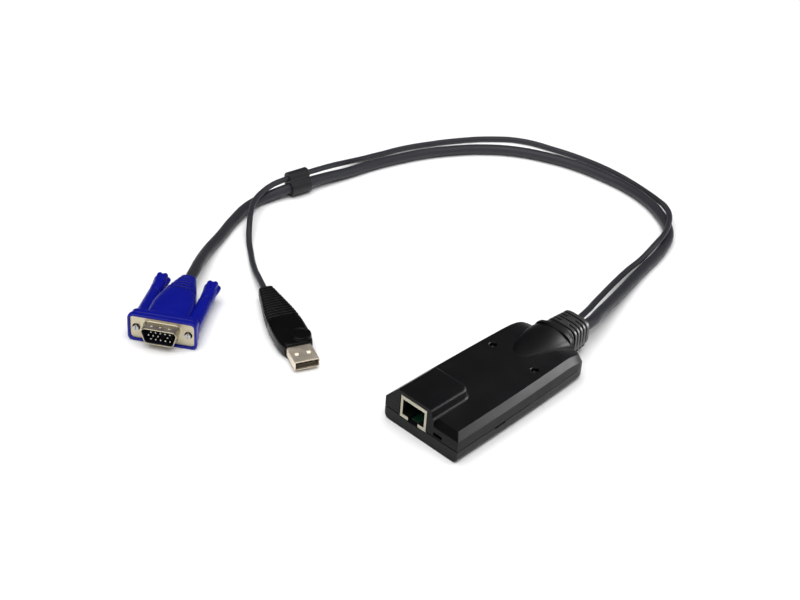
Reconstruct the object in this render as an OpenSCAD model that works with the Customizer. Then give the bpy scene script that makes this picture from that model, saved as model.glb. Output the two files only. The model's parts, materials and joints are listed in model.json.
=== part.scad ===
// Adapter cable for a keyboard, video and mouse switch.
// A small snap-together case holds a board and a network jack. Two cables leave it through a
// ribbed boot, share a collar, and end in a 15-pin video plug with thumbscrews and a flat bus plug.
// Millimetres, +Z up, everything lies on z = 0. The jack faces -Y and the cables leave towards +Y.
// The origin is under the middle of the case and its boot.

/* [Case] */
// Width across the jack end
case_w = 43.4; // [41:0.1:48]
// Length from the jack face to the rear wall
case_l = 90.4; // [86:0.1:100]
// How far each long side has drawn in at the rear wall
side_taper = 2.0; // [1:0.1:3]
// Height of the line where the two shells part
seam_z = 6.4; // [6.1:0.1:7.2]
// Height where the sloping shoulder starts
shoulder_z = 12.0; // [11.5:0.1:12.6]
// Height of the sloping shoulder
shoulder_h = 3.0; // [2.6:0.1:3.4]
// Width of the sloping shoulder seen from above
shoulder_in = 2.75; // [2.2:0.05:3.2]
// Thickness of the moulded walls
case_wall = 1.8; // [1.5:0.1:2]
// Thickness of the front wall
front_wall = 2.4; // [2:0.1:2.8]
// Thickness of the floor
floor_t = 2.0; // [1.6:0.1:2.2]
// Radius along the lower long edges
base_round = 3.0; // [2.4:0.1:4]
// Radius of the rear corners seen from above
rear_round = 5.0; // [3.5:0.1:6]
// Length over which the panel falls at the rear
rear_run = 14.2; // [12:0.1:16]
// How far the panel falls there
rear_fall = 4.2; // [3.4:0.1:4.4]
// Shadow gap between the shells
seam_gap = 0.2; // [0.1:0.05:0.3]

/* [Network jack] */
// Width of the jack
jack_w = 15.55; // [15:0.05:16]
// Height of the jack
jack_h = 11.95; // [11.6:0.05:13]
// Length of the jack
jack_l = 21; // [19:0.5:22]
// Distance from the left side of the case to the jack
jack_inset = 8.8; // [8.6:0.1:10]
// Width of the mouth
mouth_w = 12.9; // [12:0.1:13.2]
// Height of the mouth above its ledges
mouth_h = 8.2; // [7.6:0.1:8.4]
// Depth of the mouth
mouth_l = 14; // [12:0.5:15]
// Height of the two ledges beside the latch notch
ledge_h = 1.8; // [1.4:0.1:2]
// Width of the latch notch
notch_w = 5.8; // [5:0.1:7]
// Gap between the jack and its bay
jack_gap = 0.2; // [0.1:0.05:0.3]

/* [Jack block] */
// Length of the raised block over the jack
block_l = 24.2; // [23.5:0.1:27]
// Width of the block beside the jack
block_side = 3.0; // [2.5:0.1:4]
// Radius of the block's long edge and of its foot
block_round = 1.0; // [0.6:0.1:1.3]
// Radius of the block's rear corner seen from above
block_corner = 3.5; // [2:0.1:5]
// Slope of the block's walls, foot over top
block_draft = 0.5; // [0.2:0.1:0.8]

/* [Fairing] */
// Length of the fairing that rises to the neck
fairing_l = 27.0; // [24:0.5:32]
// Width of the fairing at the rear
fairing_w = 23.4; // [21:0.2:26]
// Height of its crest
fairing_z = 18.1; // [17.6:0.1:19]

/* [Neck and boot] */
// Width of the neck
neck_w = 17.7; // [16.8:0.1:18.6]
// Height of the neck
neck_h = 14.8; // [14:0.1:15.4]
// Height of the cables where they leave
exit_z = 10.0; // [9.6:0.1:10.2]
// Length of the neck that the two shells form
sleeve_l = 3.4; // [2.6:0.1:5]
// Length of the ribbed boot
boot_l = 12.3; // [11.8:0.1:14]
// Width of the boot's end
boot_end_w = 16.2; // [15.4:0.1:16.8]
// Height of the boot's end
boot_end_h = 14.4; // [13.4:0.1:14.8]
// Number of ribs
rib_count = 5; // [4:1:5]
// Width of a groove between ribs
groove_w = 0.8; // [0.6:0.05:0.9]
// Depth of a groove between ribs
groove_d = 1.2; // [0.8:0.1:1.4]

/* [Cables] */
// Diameter of the video cable
vga_d = 5.5; // [5.2:0.1:5.8]
// Diameter of the bus cable
usb_d = 3.0; // [2.8:0.1:3.4]
// Distance between the cables where they leave
exit_pitch = 5.2; // [5:0.1:5.6]
// Gap round a cable where it runs in a bore
cable_gap = 0.1; // [0.08:0.01:0.15]

/* [Collar] */
// Length of the collar
collar_l = 12; // [10:0.5:14]
// Wall of the collar
collar_wall = 1.7; // [1.4:0.1:1.9]
// Gap between the collar and its cables
collar_gap = 0.15; // [0.1:0.05:0.25]
// How far the bus cable lies above the video cable in the collar
collar_rise = 5.0; // [4.8:0.1:5.4]
// How far it lies to the side of it there
collar_side = 1.8; // [1.4:0.1:2.2]

/* [Video plug] */
// Width of the metal plate
plate_w = 30.8; // [30:0.1:32]
// Height of the metal plate
plate_h = 12.5; // [12:0.1:13]
// Thickness of the metal plate
plate_t = 0.8; // [0.6:0.1:1]
// Width of the D shell along its wide side
d_top = 16.9; // [16.5:0.1:17.4]
// Width of the D shell along its narrow side
d_bottom = 14.4; // [14:0.1:15]
// Height of the D shell
d_h = 8.3; // [8:0.1:8.6]
// How far the D shell stands out of the plate
d_l = 5.9; // [5.5:0.1:6.5]
// Wall of the D shell
d_wall = 0.4; // [0.3:0.05:0.5]
// Distance between the two screws
screw_pitch = 25.0; // [24.6:0.1:25.4]
// Diameter of a screw's threaded end
screw_d = 2.8; // [2.6:0.1:3]
// Diameter of a screw's shank
shank_d = 3.2; // [3.1:0.1:3.5]
// Running gap round a shank
shank_gap = 0.05; // [0.03:0.01:0.08]
// How far a screw stands out of the plate
screw_out = 1.2; // [0.8:0.1:2]
// Side rim of the bezel round the plate
bezel_rim = 1.25; // [0.9:0.05:1.5]
// How far the bezel stands in front of the plate
bezel_out = 0.8; // [0.5:0.1:0.9]
// Length of the hood behind the plate
hood_l = 43.5; // [42:0.5:46]
// Half the hood's width beside the plate
hood_half_w = 10.6; // [10:0.1:11]
// Half the hood's height beside the plate
hood_half_h = 6.9; // [6.4:0.1:7.1]
// Diameter of the two screw tunnels
tunnel_d = 7.4; // [6.8:0.1:7.6]
// Length of the tunnels behind the plate
tunnel_l = 27.4; // [25:0.1:29]
// Length of a thumbscrew's knob
knob_l = 13.4; // [12:0.1:16]
// Diameter of a knob at its free end
knob_d = 7.2; // [6.8:0.1:7.4]
// Number of flutes on a knob
flutes = 8; // [6:1:10]

/* [Bus plug] */
// Width of the metal shell
usb_w = 12.0; // [11.8:0.1:12.2]
// Height of the metal shell
usb_h = 4.5; // [4.4:0.1:4.6]
// Length of shell that shows
usb_out = 11.8; // [11.4:0.1:12.4]
// Wall of the metal shell
usb_wall = 0.35; // [0.3:0.05:0.4]
// Length of the moulded grip
grip_l = 49.4; // [46:0.1:53]
// Half the grip's greatest width
grip_half_w = 8.6; // [8.2:0.1:9.2]
// Half the grip's thickness
grip_half_h = 3.9; // [3.7:0.1:4.2]
// Radius of the round pad on the grip
pad_r = 4.5; // [3.5:0.1:5]

/* [Hidden] */

// One overrun serves every cut, and one small gap every seat
over = 1;
seat = 0.1;
fine = 32;

// Heights and lengths that follow from the sizes above
total_l = case_l + sleeve_l + seam_gap + boot_l;
front_y = -total_l / 2;
rear_y = front_y + case_l;
exit_y = total_l / 2;
panel_z = shoulder_z + shoulder_h;
fall_r = (rear_run * rear_run + rear_fall * rear_fall) / (2 * rear_fall);
shoulder_slant = norm([shoulder_in, shoulder_h]);

// Board, its posts and what stands on it
board_t = 1.6;
post_h = 2.15;
post_r = 2.2;
pin_r = 0.9;
board_gap = 0.4;
board_z = floor_t + post_h + board_t;
board_front = front_y + front_wall + board_gap;
board_back = 14.5;
board_rear = rear_y - board_back;
board_w = case_w - 2 * (side_taper + case_wall + board_gap);
post_in = 3.5;

// Network jack
jack_x = -case_w / 2 + jack_inset + jack_w / 2;
jack_recess = 0.3;
jack_front = front_y + jack_recess;
jack_top = board_z + jack_h;
mouth_z = board_z + ledge_h;
contact_t = 0.4;
contact_pitch = 1.02;
contact_count = 8;
contact_slot = contact_t + 2 * seat;
contact_tail = 2;
contact_back = jack_front + jack_l - contact_tail;
contact_lip = jack_front + 3.4;
contact_z = mouth_z + mouth_h + contact_t;
contact_spring = 7.5;
contact_angle = 27;

// Raised block over the jack
block_z = jack_top + jack_gap + case_wall + seat;
block_right = jack_x + jack_w / 2 + block_side;

// Snap hooks: the windows they catch in, and the hooks
snap_w = 5;
snap_h = 1.8;
snap_lift = 0.9;
snap_t = 1.1;
snap_bite = 0.9;
snap_side_l = 7;
snap_side_y = front_y + 44;
pocket_d = 1.0;
pry_y = front_y + 28.4;
pry_l = 7;
pry_h = 1.0;
pry_d = 1.1;
snap_front_x = jack_x + jack_w / 2 + 7.2;
lip_h = 1.0;
lip_t = 0.7;
lip_root = 0.6;

// Lamps in the panel
lamp_x = 12.6;
lamp_y = front_y + 60.6;
lamp_r = 1.5;
lamp_hole_r = 1.65;
lamp_sink = 0.7;
lamp_body = 3.4;
lamp_leg_r = 0.3;
lamp_leg_pitch = 1.4;
lamp_rim = 0.4;
lamp_rim_h = 0.8;

// Neck, boot and the flange that the shells trap
neck_round = 7.0;
neck_flare = 2.4;
stem_w = neck_w - 2 * case_wall;
stem_h = neck_h - 2 * case_wall;
stem_round = 5.2;
sleeve_end = rear_y + sleeve_l;
boot_y = sleeve_end + seam_gap;
boot_round = 6.6;
flange_t = 2.4;
flange_w = stem_w + 3 * flange_t;
flange_y = rear_y - case_wall - seat - flange_t;
flange_low = floor_t + 1.2;
flange_high = panel_z - case_wall - rear_fall + 0.7;
stem_front = flange_y - flange_t;
keeper_t = 1.4;
keeper_h = 3.6;
bridge_w = 5;
bridge_low = 3.2;

// Cables
vga_r = vga_d / 2;
usb_r = usb_d / 2;
vga_x = exit_pitch / 2;
usb_x = -exit_pitch / 2;
jacket_y = stem_front - 3.2;
vga_sides = 12;
usb_sides = 8;

// The video cable's way from the boot to its plug, from the point where it leaves the boot.
// Each row is x, y, and a height as a share of one of the lifts named below.
at_exit = 0;
at_hump = 1;
at_collar = 2;
at_plug = 3;
vga_route = [
    [0, 0, 1, at_exit], [-0.2, 9, 1, at_exit], [-2.6, 18, 0.84, at_exit], [-6.1, 31, 0.55, at_exit],
    [-10.1, 46, 0.28, at_exit], [-13.7, 60, 0.12, at_exit], [-16.9, 74, 0.02, at_exit],
    [-19.2, 86, 0, at_exit], [-22.2, 97, 0, at_exit], [-26.4, 106.5, 0, at_exit],
    [-33, 114, 0, at_exit], [-42, 120, 0, at_exit], [-54, 125.2, 0, at_exit],
    [-70, 128.2, 0, at_exit], [-88, 127.6, 0, at_exit], [-105, 124.8, 0, at_exit],
    [-121, 119, 0, at_exit], [-136, 110.6, 0, at_exit], [-149, 98.6, 0, at_exit],
    [-159.5, 84, 0, at_exit], [-167.5, 69, 0, at_exit], [-173, 54, 0, at_exit],
    [-177.4, 38, 0, at_collar], [-180, 22, 0.3, at_collar], [-182.3, 10.2, 0.8, at_collar],
    [-183.7, 2.6, 1, at_collar], [-187, -15.4, 1, at_collar],
    [-188.9, -24, 0.5, at_collar], [-190.3, -32, 0, at_collar], [-189.1, -42, 0, at_plug],
    [-184.4, -55, 0, at_plug], [-177.8, -69.4, 0.03, at_plug], [-170.2, -84.6, 0.38, at_plug],
    [-162.2, -97, 0.86, at_plug], [-158.4, -102.4, 1, at_plug]];
vga_end = [-153.7, -109.7];
vga_yaw = 33;

// The bus cable's way, in the same form. It climbs over the video cable twice.
usb_route = [
    [0, 0, 1, at_exit], [-2, 14, 0.96, at_exit], [-4.8, 24, 0.84, at_exit],
    [-8.8, 37, 0.58, at_exit], [-12.8, 51.5, 0.34, at_exit], [-15.4, 64.5, 0.26, at_exit],
    [-16.4, 77, 0.5, at_hump], [-17.6, 89, 0.96, at_hump], [-20.6, 101.5, 1, at_hump],
    [-24.8, 110.5, 1, at_hump], [-30, 118, 0.96, at_hump], [-37.4, 124.6, 0.74, at_hump],
    [-46.4, 130.4, 0.3, at_hump], [-60, 135.2, 0, at_hump], [-78, 137.1, 0, at_hump],
    [-97, 135.9, 0, at_hump], [-118, 131, 0, at_hump], [-138, 123.2, 0, at_hump],
    [-150, 112, 0, at_hump], [-160, 97.6, 0, at_hump], [-168.4, 81.6, 0, at_hump],
    [-175.2, 65, 0, at_hump], [-178.4, 53, 0, at_collar], [-180.6, 39, 0.14, at_collar],
    [-180.4, 27, 0.46, at_collar], [-179.2, 14, 0.88, at_collar], [-180.6, 1.1, 1, at_collar],
    [-183.8, -16.6, 1, at_collar], [-184.8, -24, 0.9, at_collar], [-184, -31.2, 0.78, at_collar],
    [-181.8, -37.4, 0.72, at_collar], [-179.2, -41.6, 0.71, at_collar],
    [-174.1, -47.7, 0.66, at_collar], [-167.4, -54.6, 0.46, at_collar],
    [-160, -61.3, 0.1, at_collar], [-154.8, -65.1, 0, at_collar],
    [-142.1, -74.1, 0.2, at_plug], [-130, -81, 0.92, at_plug]];
usb_end = [-121.5, -85.2];
usb_yaw = 66.2;

// Lifts above the height at which a cable lies on the surface
stack_gap = 0.25;
vga_axis_z = plate_h / 2 + bezel_rim;
usb_axis_z = grip_half_h;
collar_lift = collar_wall + collar_gap;
vga_lifts = [exit_z - vga_r, vga_d, collar_lift, vga_axis_z - vga_r];
usb_lifts = [exit_z - usb_r, vga_d + stack_gap, collar_lift + vga_r + collar_rise - usb_r, usb_axis_z - usb_r];

// Collar, placed where the cables run side by side
collar_yaw = -10.4;
collar_at = [-185.66, -8.1];
collar_waist = 5.4;

// Video plug, in its own frame: the plate's front is y = 0 and the cable enters at y = hood_l
plate_round = 1.8;
bezel_round = 2.6;
bezel_t = 1.6;
collar_step = 0.5;
back_flange_in = 0.5;
back_flange_t = 3.2;
groove_t = 0.5;
d_round = 2.2;
d_root = 0.5;
dimple_r = 0.7;
dimple_pitch = 4.2;
dimple_h = 0.25;
plate_hole_r = screw_d / 2 + 0.5;
insert_face = 0.6;
insert_l = 9;
pin_d = 1.0;
pin_pitch = 2.29;
pin_row = 1.98;
pin_out = 4.9;
pin_back = 3;
hood_start = bezel_t + groove_t + back_flange_t - seat;
hood_bore_l = 10;
hood_grooves = 4;
hood_groove_pitch = 2.4;
hood_groove_first = 34.4;
hood_groove_w = 0.9;
hood_groove_d = 0.55;
knob_gap = 0.3;
knob_front_d = 6.2;
flute_r = 0.62;
flute_share = 0.97;
knob_floor = 3;
slot_w = 0.6;
slot_d = 0.7;
tunnel_root = 8;

// Shape of the hood from its plate to the cable: place, half width and half height as shares
hood_shares = [[0, 1, 0.94], [0.12, 1, 0.99], [0.28, 1, 1], [0.38, 0.93, 0.99], [0.5, 0.83, 0.95],
               [0.62, 0.735, 0.89], [0.72, 0.66, 0.83], [0.82, 0.57, 0.75], [0.92, 0.46, 0.66],
               [0.97, 0.41, 0.61], [1, 0.37, 0.56]];

// Bus plug, in its own frame: the shell's mouth is y = 0 and the cable enters at usb_back
usb_back = usb_out + grip_l;
usb_round = 0.6;
usb_seat_l = 7;
usb_lip = 0.5;
usb_window_w = 2.2;
usb_window_l = 2.2;
usb_window_x = 2.9;
usb_window_y = 6;
tongue_h = 1.9;
tongue_gap = 0.05;
tongue_back = 0.8;
usb_contact_w = 1.1;
usb_contact_t = 0.2;
usb_contact_l = 8;
usb_contact_pitches = [-3.5, -1, 1, 3.5];
pad_at = [3.1, 17.7];
pad_h = 0.9;
pad_dish = 0.35;
pad_rim = 1.1;
grip_bore_l = 8;
grip_grooves = 12;
grip_groove_first = 36.6;
grip_groove_w = 1.0;
grip_groove_d = 0.5;
grip_shares = [[0, 0.79, 0.95], [0.05, 0.89, 1], [0.13, 0.975, 1], [0.24, 1, 1], [0.36, 0.99, 1],
               [0.5, 0.93, 0.99], [0.62, 0.83, 0.96], [0.74, 0.695, 0.92], [0.86, 0.56, 0.87],
               [0.96, 0.45, 0.82], [1, 0.375, 0.72]];

// Value of a table of shares at a place between 0 and 1
function share_at(table, s, column) = lookup(s, [for (row = table) [row[0], row[column]]]);

// Half width of the case, and how far its panel has fallen, at a distance from the jack face
function corner_in(y) = y <= case_l - rear_round ? 0
    : rear_round - sqrt(max(0, rear_round * rear_round - pow(y - case_l + rear_round, 2)));
function half_w(y) = case_w / 2 - side_taper * pow(y / case_l, 2) - corner_in(y);
function fall(y) = y <= case_l - rear_run ? 0
    : fall_r - sqrt(fall_r * fall_r - pow(y - case_l + rear_run, 2));
case_steps = 8;
rear_steps = 7;
stations = concat([for (i = [0 : case_steps]) (case_l - rear_run) * i / case_steps],
                  [for (k = [1 : rear_steps]) case_l - rear_run * (1 - sin(90 * k / rear_steps))]);

// Section of the upper shell at y, drawn in by t, standing on z0
function upper_section(y, t, z0) = let (
    w = half_w(y) - t,
    knee = shoulder_z - fall(y) - t * (shoulder_slant - shoulder_h) / shoulder_in,
    flat = half_w(y) - shoulder_in - t * (shoulder_slant - shoulder_in) / shoulder_h,
    top = panel_z - fall(y) - t)
    [[-w, z0], [w, z0], [w, knee], [flat, top], [-flat, top], [-w, knee]];

// Section of the lower shell at y, drawn in by t, with its floor at z0 and its rim at z1
round_steps = 4;
function lower_section(y, t, z0, z1) = let (
    w = half_w(y) - t,
    r = base_round - t / 2)
    concat([for (k = [0 : round_steps]) let (a = 180 + 90 * k / round_steps)
                [-(w - r) + r * cos(a), z0 + r + r * sin(a)]],
           [for (k = [0 : round_steps]) let (a = 270 + 90 * k / round_steps)
                [w - r + r * cos(a), z0 + r + r * sin(a)]],
           [[w, z1], [-w, z1]]);

// Closed solid through rings of equally many points
function quad(a, b, c, d) = [[a, b, c], [a, c, d]];
module skin(rings) {
    n = len(rings[0]);
    last = len(rings) - 1;
    sides = [for (i = [0 : last - 1]) for (k = [0 : n - 1]) let (m = (k + 1) % n)
        each quad(i * n + k, i * n + m, (i + 1) * n + m, (i + 1) * n + k)];
    front = [for (k = [1 : n - 2]) [0, k + 1, k]];
    back = [for (k = [1 : n - 2]) [last * n, last * n + k, last * n + k + 1]];
    polyhedron(points = [for (ring = rings) each ring], faces = concat(sides, front, back));
}
// A flat section [x, z] stood up at y
function stand(section, y) = [for (p = section) [p[0], y, p[1]]];

// Extrude a flat [x, z] shape along +Y from y0
module along_y(y0, length) {
    translate([0, y0 + length, 0]) rotate([90, 0, 0]) linear_extrude(length) children();
}
module rounded(w, h, r) {
    square([w - 2 * r, h], center = true);
    square([w, h - 2 * r], center = true);
    for (x = [-1, 1]) for (y = [-1, 1]) {
        translate([x * (w / 2 - r), y * (h / 2 - r)]) circle(r = r, $fn = fine);
    }
}
// Cylinder along +Y from y0
module rod(x, y0, z, r, length) {
    translate([x, y0, z]) rotate([-90, 0, 0]) cylinder(r = r, h = length, $fn = fine);
}
// Box by its low corner and size
module box(low, size) {
    translate(low) cube(size);
}

// Superellipse section, as [x, z], with half sizes a and b about height z
function squircle(a, b, z, power, n) = [for (k = [0 : n - 1]) let (t = 360 * k / n)
    [a * sign(cos(t)) * pow(abs(cos(t)), 2 / power),
     z + b * sign(sin(t)) * pow(abs(sin(t)), 2 / power)]];

// Tube through points, with its rings square to the way it runs
function unit(v) = v / norm(v);
function heading(path, i) = unit(path[min(i + 1, len(path) - 1)] - path[max(i - 1, 0)]);
function tube_ring(p, ahead, r, n) = let (
    side = unit(cross(ahead, [0, 0, 1])),
    up = cross(side, ahead))
    [for (k = [0 : n - 1]) let (a = 360 * (k + 0.5) / n) p + r * (side * cos(a) + up * sin(a))];
module tube(path, r, n) {
    skin([for (i = [0 : len(path) - 1]) tube_ring(path[i], heading(path, i), r, n)]);
}

// A cable's points in the part's frame: straight out of the module, the route, straight into the plug
function route_points(route, x, r, lifts) = [for (p = route)
    [x + p[0], exit_y + p[1], r + p[2] * lifts[p[3]]]];
function plug_ahead(yaw) = [sin(yaw), -cos(yaw), 0];
function plug_point(end, x, z, yaw, ahead) =
    [x + end[0], exit_y + end[1], z] + ahead * plug_ahead(yaw);

// Case
module case_upper(t, z0, y_from) {
    inner = [for (y = stations) if (y > y_from && y < case_l - t) y];
    skin([for (y = concat([y_from], inner, [case_l - t])) stand(upper_section(y, t, z0), front_y + y)]);
}
module case_lower(t, z0, z1, y_from) {
    inner = [for (y = stations) if (y > y_from && y < case_l - t) y];
    skin([for (y = concat([y_from], inner, [case_l - t]))
        stand(lower_section(y, t, z0, z1), front_y + y)]);
}

// Outline of the block at height z, let out by d round its two free sides. Its left side carries
// the slope of the shoulder on upwards, a hair proud of it, and is tucked in by t below the panel.
proud = seat / 4;
corner_steps = 6;
function slope_x(y, z) = -half_w(y) + (z - shoulder_z) * shoulder_in / shoulder_h;
function block_outline(d, z, t) = concat(
    [for (y = [-proud, stations[1], stations[2], block_l + d])
        [slope_x(max(0, y), z) + t - proud, front_y + y]],
    [for (k = [corner_steps : -1 : 0]) let (a = 90 * k / corner_steps)
        [block_right - block_corner + (block_corner + d) * cos(a),
         front_y + block_l - block_corner + (block_corner + d) * sin(a)]],
    [[block_right + d, front_y - proud]]);
function block_flare(z) = let (
    rise = (z - panel_z) / (block_z - panel_z),
    foot = max(0, block_round - (z - panel_z)),
    head = max(0, block_round - (block_z - z)))
    block_draft * (1 - rise)
    + block_round - sqrt(block_round * block_round - foot * foot)
    - (block_round - sqrt(block_round * block_round - head * head));
module jack_block() {
    foot = shoulder_z - case_wall / 4;
    levels = concat([for (k = [0 : 4]) panel_z + block_round * (1 - cos(90 * k / 4))],
                    [for (k = [4 : -1 : 0]) block_z - block_round * (1 - cos(90 * k / 4))]);
    skin(concat([[for (p = block_outline(block_flare(panel_z), foot, case_wall / 2)) [p[0], p[1], foot]]],
                [for (z = levels) [for (p = block_outline(block_flare(z), z, 0)) [p[0], p[1], z]]]));
}

// Fairing: rounded sections that widen and rise along the panel towards the neck
fairing_steps = 12;
fairing_sides = 16;
widen_share = 0.38;
function fairing_section(s) = let (
    y = case_l - fairing_l * (1 - s),
    base = panel_z - fall(y),
    half = fairing_w / 2 * pow(s, widen_share),
    rise = (fairing_z - panel_z) * pow(sin(90 * min(1, s * 1.18)), 0.8) + panel_z - base
           - (fairing_z - (exit_z + neck_h / 2)) * max(0, s - 0.85) / 0.15)
    concat([[-half, base - case_wall / 2], [half, base - case_wall / 2]],
           [for (k = [0 : fairing_sides]) let (a = 180 * k / fairing_sides)
                [half * cos(a), base + rise * pow(sin(a), 0.9)]]);
module fairing() {
    places = concat([0.003, 0.02, 0.06], [for (i = [1 : fairing_steps - 1]) i / (fairing_steps - 1)]);
    skin([for (s = places) stand(fairing_section(s), rear_y - fairing_l * (1 - s))]);
}

// Neck of the case: flares out onto the rear wall
neck_steps = 4;
neck_sides = 32;
neck_power = 3.4;
module neck() {
    skin(concat([stand(squircle(neck_w / 2 + neck_flare, neck_h / 2 + neck_flare / 4, exit_z,
                                neck_power, neck_sides), rear_y - case_wall)],
                [for (k = [0 : neck_steps]) let (f = neck_flare * pow(1 - k / neck_steps, 2))
                    stand(squircle(neck_w / 2 + f, neck_h / 2 + f / 4, exit_z, neck_power, neck_sides),
                          rear_y + sleeve_l * k / neck_steps)]));
}
// Space for the boot's stem and flange
module stem_space(gap) {
    along_y(stem_front - gap, sleeve_end - stem_front + gap + over) {
        translate([0, exit_z]) rounded(stem_w + 2 * gap, stem_h + 2 * gap, stem_round + gap);
    }
}
// Space for the cables where they come out of the stem, under the falling panel
module cable_space(gap) {
    rod(vga_x, jacket_y - gap, exit_z, vga_r + gap, stem_front - jacket_y + 2 * gap);
    rod(usb_x, jacket_y - gap, exit_z, usb_r + gap, stem_front - jacket_y + 2 * gap);
}
module above(z) {
    box([-case_w, front_y - over, z], [2 * case_w, total_l, case_w]);
}
module front_slope() {
    slope = [[-over, shoulder_z - over * shoulder_h / shoulder_in],
             [shoulder_in + over, panel_z + over * shoulder_h / shoulder_in],
             [-over, panel_z + over * shoulder_h / shoulder_in]];
    translate([block_right, front_y, 0]) rotate([90, 0, 90]) linear_extrude(case_w) polygon(slope);
}
module jack_bay() {
    box([jack_x - jack_w / 2 - jack_gap, front_y - over, board_z - jack_gap],
        [jack_w + 2 * jack_gap, jack_recess + jack_l + jack_gap + over, jack_h + 2 * jack_gap]);
}
function side_wall_x() = half_w(snap_side_y - front_y) - case_wall;
// One window shows in the front wall. The side walls have pockets on the inside only.
module snap_windows() {
    box([snap_front_x - snap_w / 2, front_y - over, seam_z + snap_lift],
        [snap_w, front_wall + 2 * over, snap_h]);
    box([-side_wall_x() - pocket_d, snap_side_y - snap_side_l / 2, seam_z + snap_lift],
        [2 * (side_wall_x() + pocket_d), snap_side_l, snap_h]);
}
// Shallow slots in the lower rim, where a blade parts the shells
module pry_slots() {
    for (side = [-1, 1]) {
        box([side * (half_w(pry_y - front_y) - pry_d + case_w / 2) - case_w / 2,
             pry_y - pry_l / 2, seam_z - pry_h], [case_w, pry_l, pry_h + over]);
    }
}

module top_shell() {
    color("#1c1e21") difference() {
        union() {
            difference() {
                case_upper(0, seam_z + seam_gap, 0);
                front_slope();
            }
            jack_block();
            fairing();
            intersection() {
                neck();
                above(seam_z + seam_gap);
            }
        }
        case_upper(case_wall, seam_z - over, front_wall);
        stem_space(seat);
        cable_space(seat);
        jack_bay();
        snap_windows();
        for (side = [-1, 1]) {
            translate([side * lamp_x, lamp_y, shoulder_z]) {
                cylinder(r = lamp_hole_r, h = 2 * shoulder_h, $fn = fine);
            }
        }
    }
}

// Lip inside the rim, hooks behind the windows and posts for the board
module snap_hook(w) {
    // Drawn with the wall on the -Y side and its inner face at y = 0
    reach = snap_lift + snap_h - seat;
    box([-w / 2, seat, seam_z - case_wall], [w, snap_t, reach + case_wall + snap_lift / 2]);
    box([-w / 2, -snap_bite, seam_z + snap_lift + seat], [w, snap_bite + 2 * seat, snap_h - 2 * seat]);
    box([-w / 2, -seat, seam_z - case_wall], [w, 3 * seat, case_wall - seam_gap]);
}
module post_places() {
    for (side = [-1, 1]) for (y = [board_rear - post_in, board_front + jack_l + 2 * post_in]) {
        translate([side * (board_w / 2 - post_in), y, 0]) children();
    }
}
module keeper() {
    // Low wall that holds the boot's flange against the rear wall, with a cradle for the stem
    difference() {
        box([-flange_w / 2, flange_y - seat - keeper_t, floor_t - seat], [flange_w, keeper_t, keeper_h]);
        stem_space(seat);
    }
}
module lip() {
    // Stands inside the rim, and is joined to the wall below the seam
    low = seam_z - lip_root;
    difference() {
        union() {
            case_lower(case_wall + seat, -base_round, seam_z + lip_h, front_wall + seat);
            case_lower(case_wall - seat, -base_round, seam_z - seat, front_wall - seat);
        }
        case_lower(case_wall + seat + lip_t, -2 * base_round, seam_z + lip_h + over,
                   front_wall + seat + lip_t);
        box([-case_w, front_y - over, -3 * base_round], [2 * case_w, total_l, low + 3 * base_round]);
        jack_bay();
        stem_space(2 * seat);
        box([-flange_w / 2 - seat, flange_y - 2 * seat, 0], [flange_w + 2 * seat, total_l, case_w]);
    }
}
module bottom_shell() {
    color("#222427") {
        difference() {
            union() {
                case_lower(0, 0, seam_z, 0);
                difference() {
                    neck();
                    above(seam_z);
                }
            }
            case_lower(case_wall, floor_t, seam_z + over, front_wall);
            stem_space(seat);
            jack_bay();
            pry_slots();
        }
        lip();
        keeper();
        post_places() {
            translate([0, 0, floor_t - seat]) cylinder(r = post_r, h = post_h + seat, $fn = fine);
            translate([0, 0, floor_t]) cylinder(r = pin_r, h = post_h + board_t + seat, $fn = fine);
        }
        translate([snap_front_x, front_y + front_wall, 0]) snap_hook(snap_w - 4 * seat);
        for (side = [-1, 1]) {
            translate([side * side_wall_x(), snap_side_y, 0]) rotate([0, 0, side * 90])
                snap_hook(snap_side_l - 4 * seat);
        }
    }
}

// Board and what is soldered to it
module circuit_board() {
    color("#1f5a36") difference() {
        box([-board_w / 2, board_front, board_z - board_t], [board_w, board_rear - board_front, board_t]);
        post_places() {
            translate([0, 0, floor_t]) cylinder(r = pin_r + seat, h = post_h + 2 * board_t, $fn = fine);
        }
        for (i = [0 : contact_count - 1]) {
            box([contact_x(i) - contact_slot / 2, contact_back - contact_slot / 2, floor_t],
                [contact_slot, contact_slot, board_z]);
        }
        snap_relief();
    }
}
module snap_relief() {
    // Notches that clear the hooks
    box([snap_front_x - snap_w / 2, board_front - over, floor_t], [snap_w, over + snap_t, board_z]);
    for (side = [-1, 1]) {
        box([side * board_w / 2 - snap_t, snap_side_y - snap_side_l / 2, floor_t],
            [2 * snap_t, snap_side_l, board_z]);
    }
}
function contact_x(i) = jack_x + contact_pitch * (i - (contact_count - 1) / 2);
module network_jack() {
    color("#d9d4bd") difference() {
        box([jack_x - jack_w / 2, jack_front, board_z], [jack_w, jack_l, jack_h]);
        box([jack_x - mouth_w / 2, jack_front - over, mouth_z], [mouth_w, mouth_l + over, mouth_h]);
        box([jack_x - notch_w / 2, jack_front - over, board_z - over],
            [notch_w, mouth_l + over, ledge_h + 2 * over]);
        for (i = [0 : contact_count - 1]) {
            box([contact_x(i) - contact_slot / 2, contact_lip - contact_slot, mouth_z + mouth_h - over],
                [contact_slot, contact_back - contact_lip + 3 * contact_slot / 2, over + 2 * contact_t]);
            box([contact_x(i) - contact_slot / 2, contact_back - contact_slot / 2, board_z - over],
                [contact_slot, contact_slot, contact_z - board_z + over]);
        }
    }
}
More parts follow.
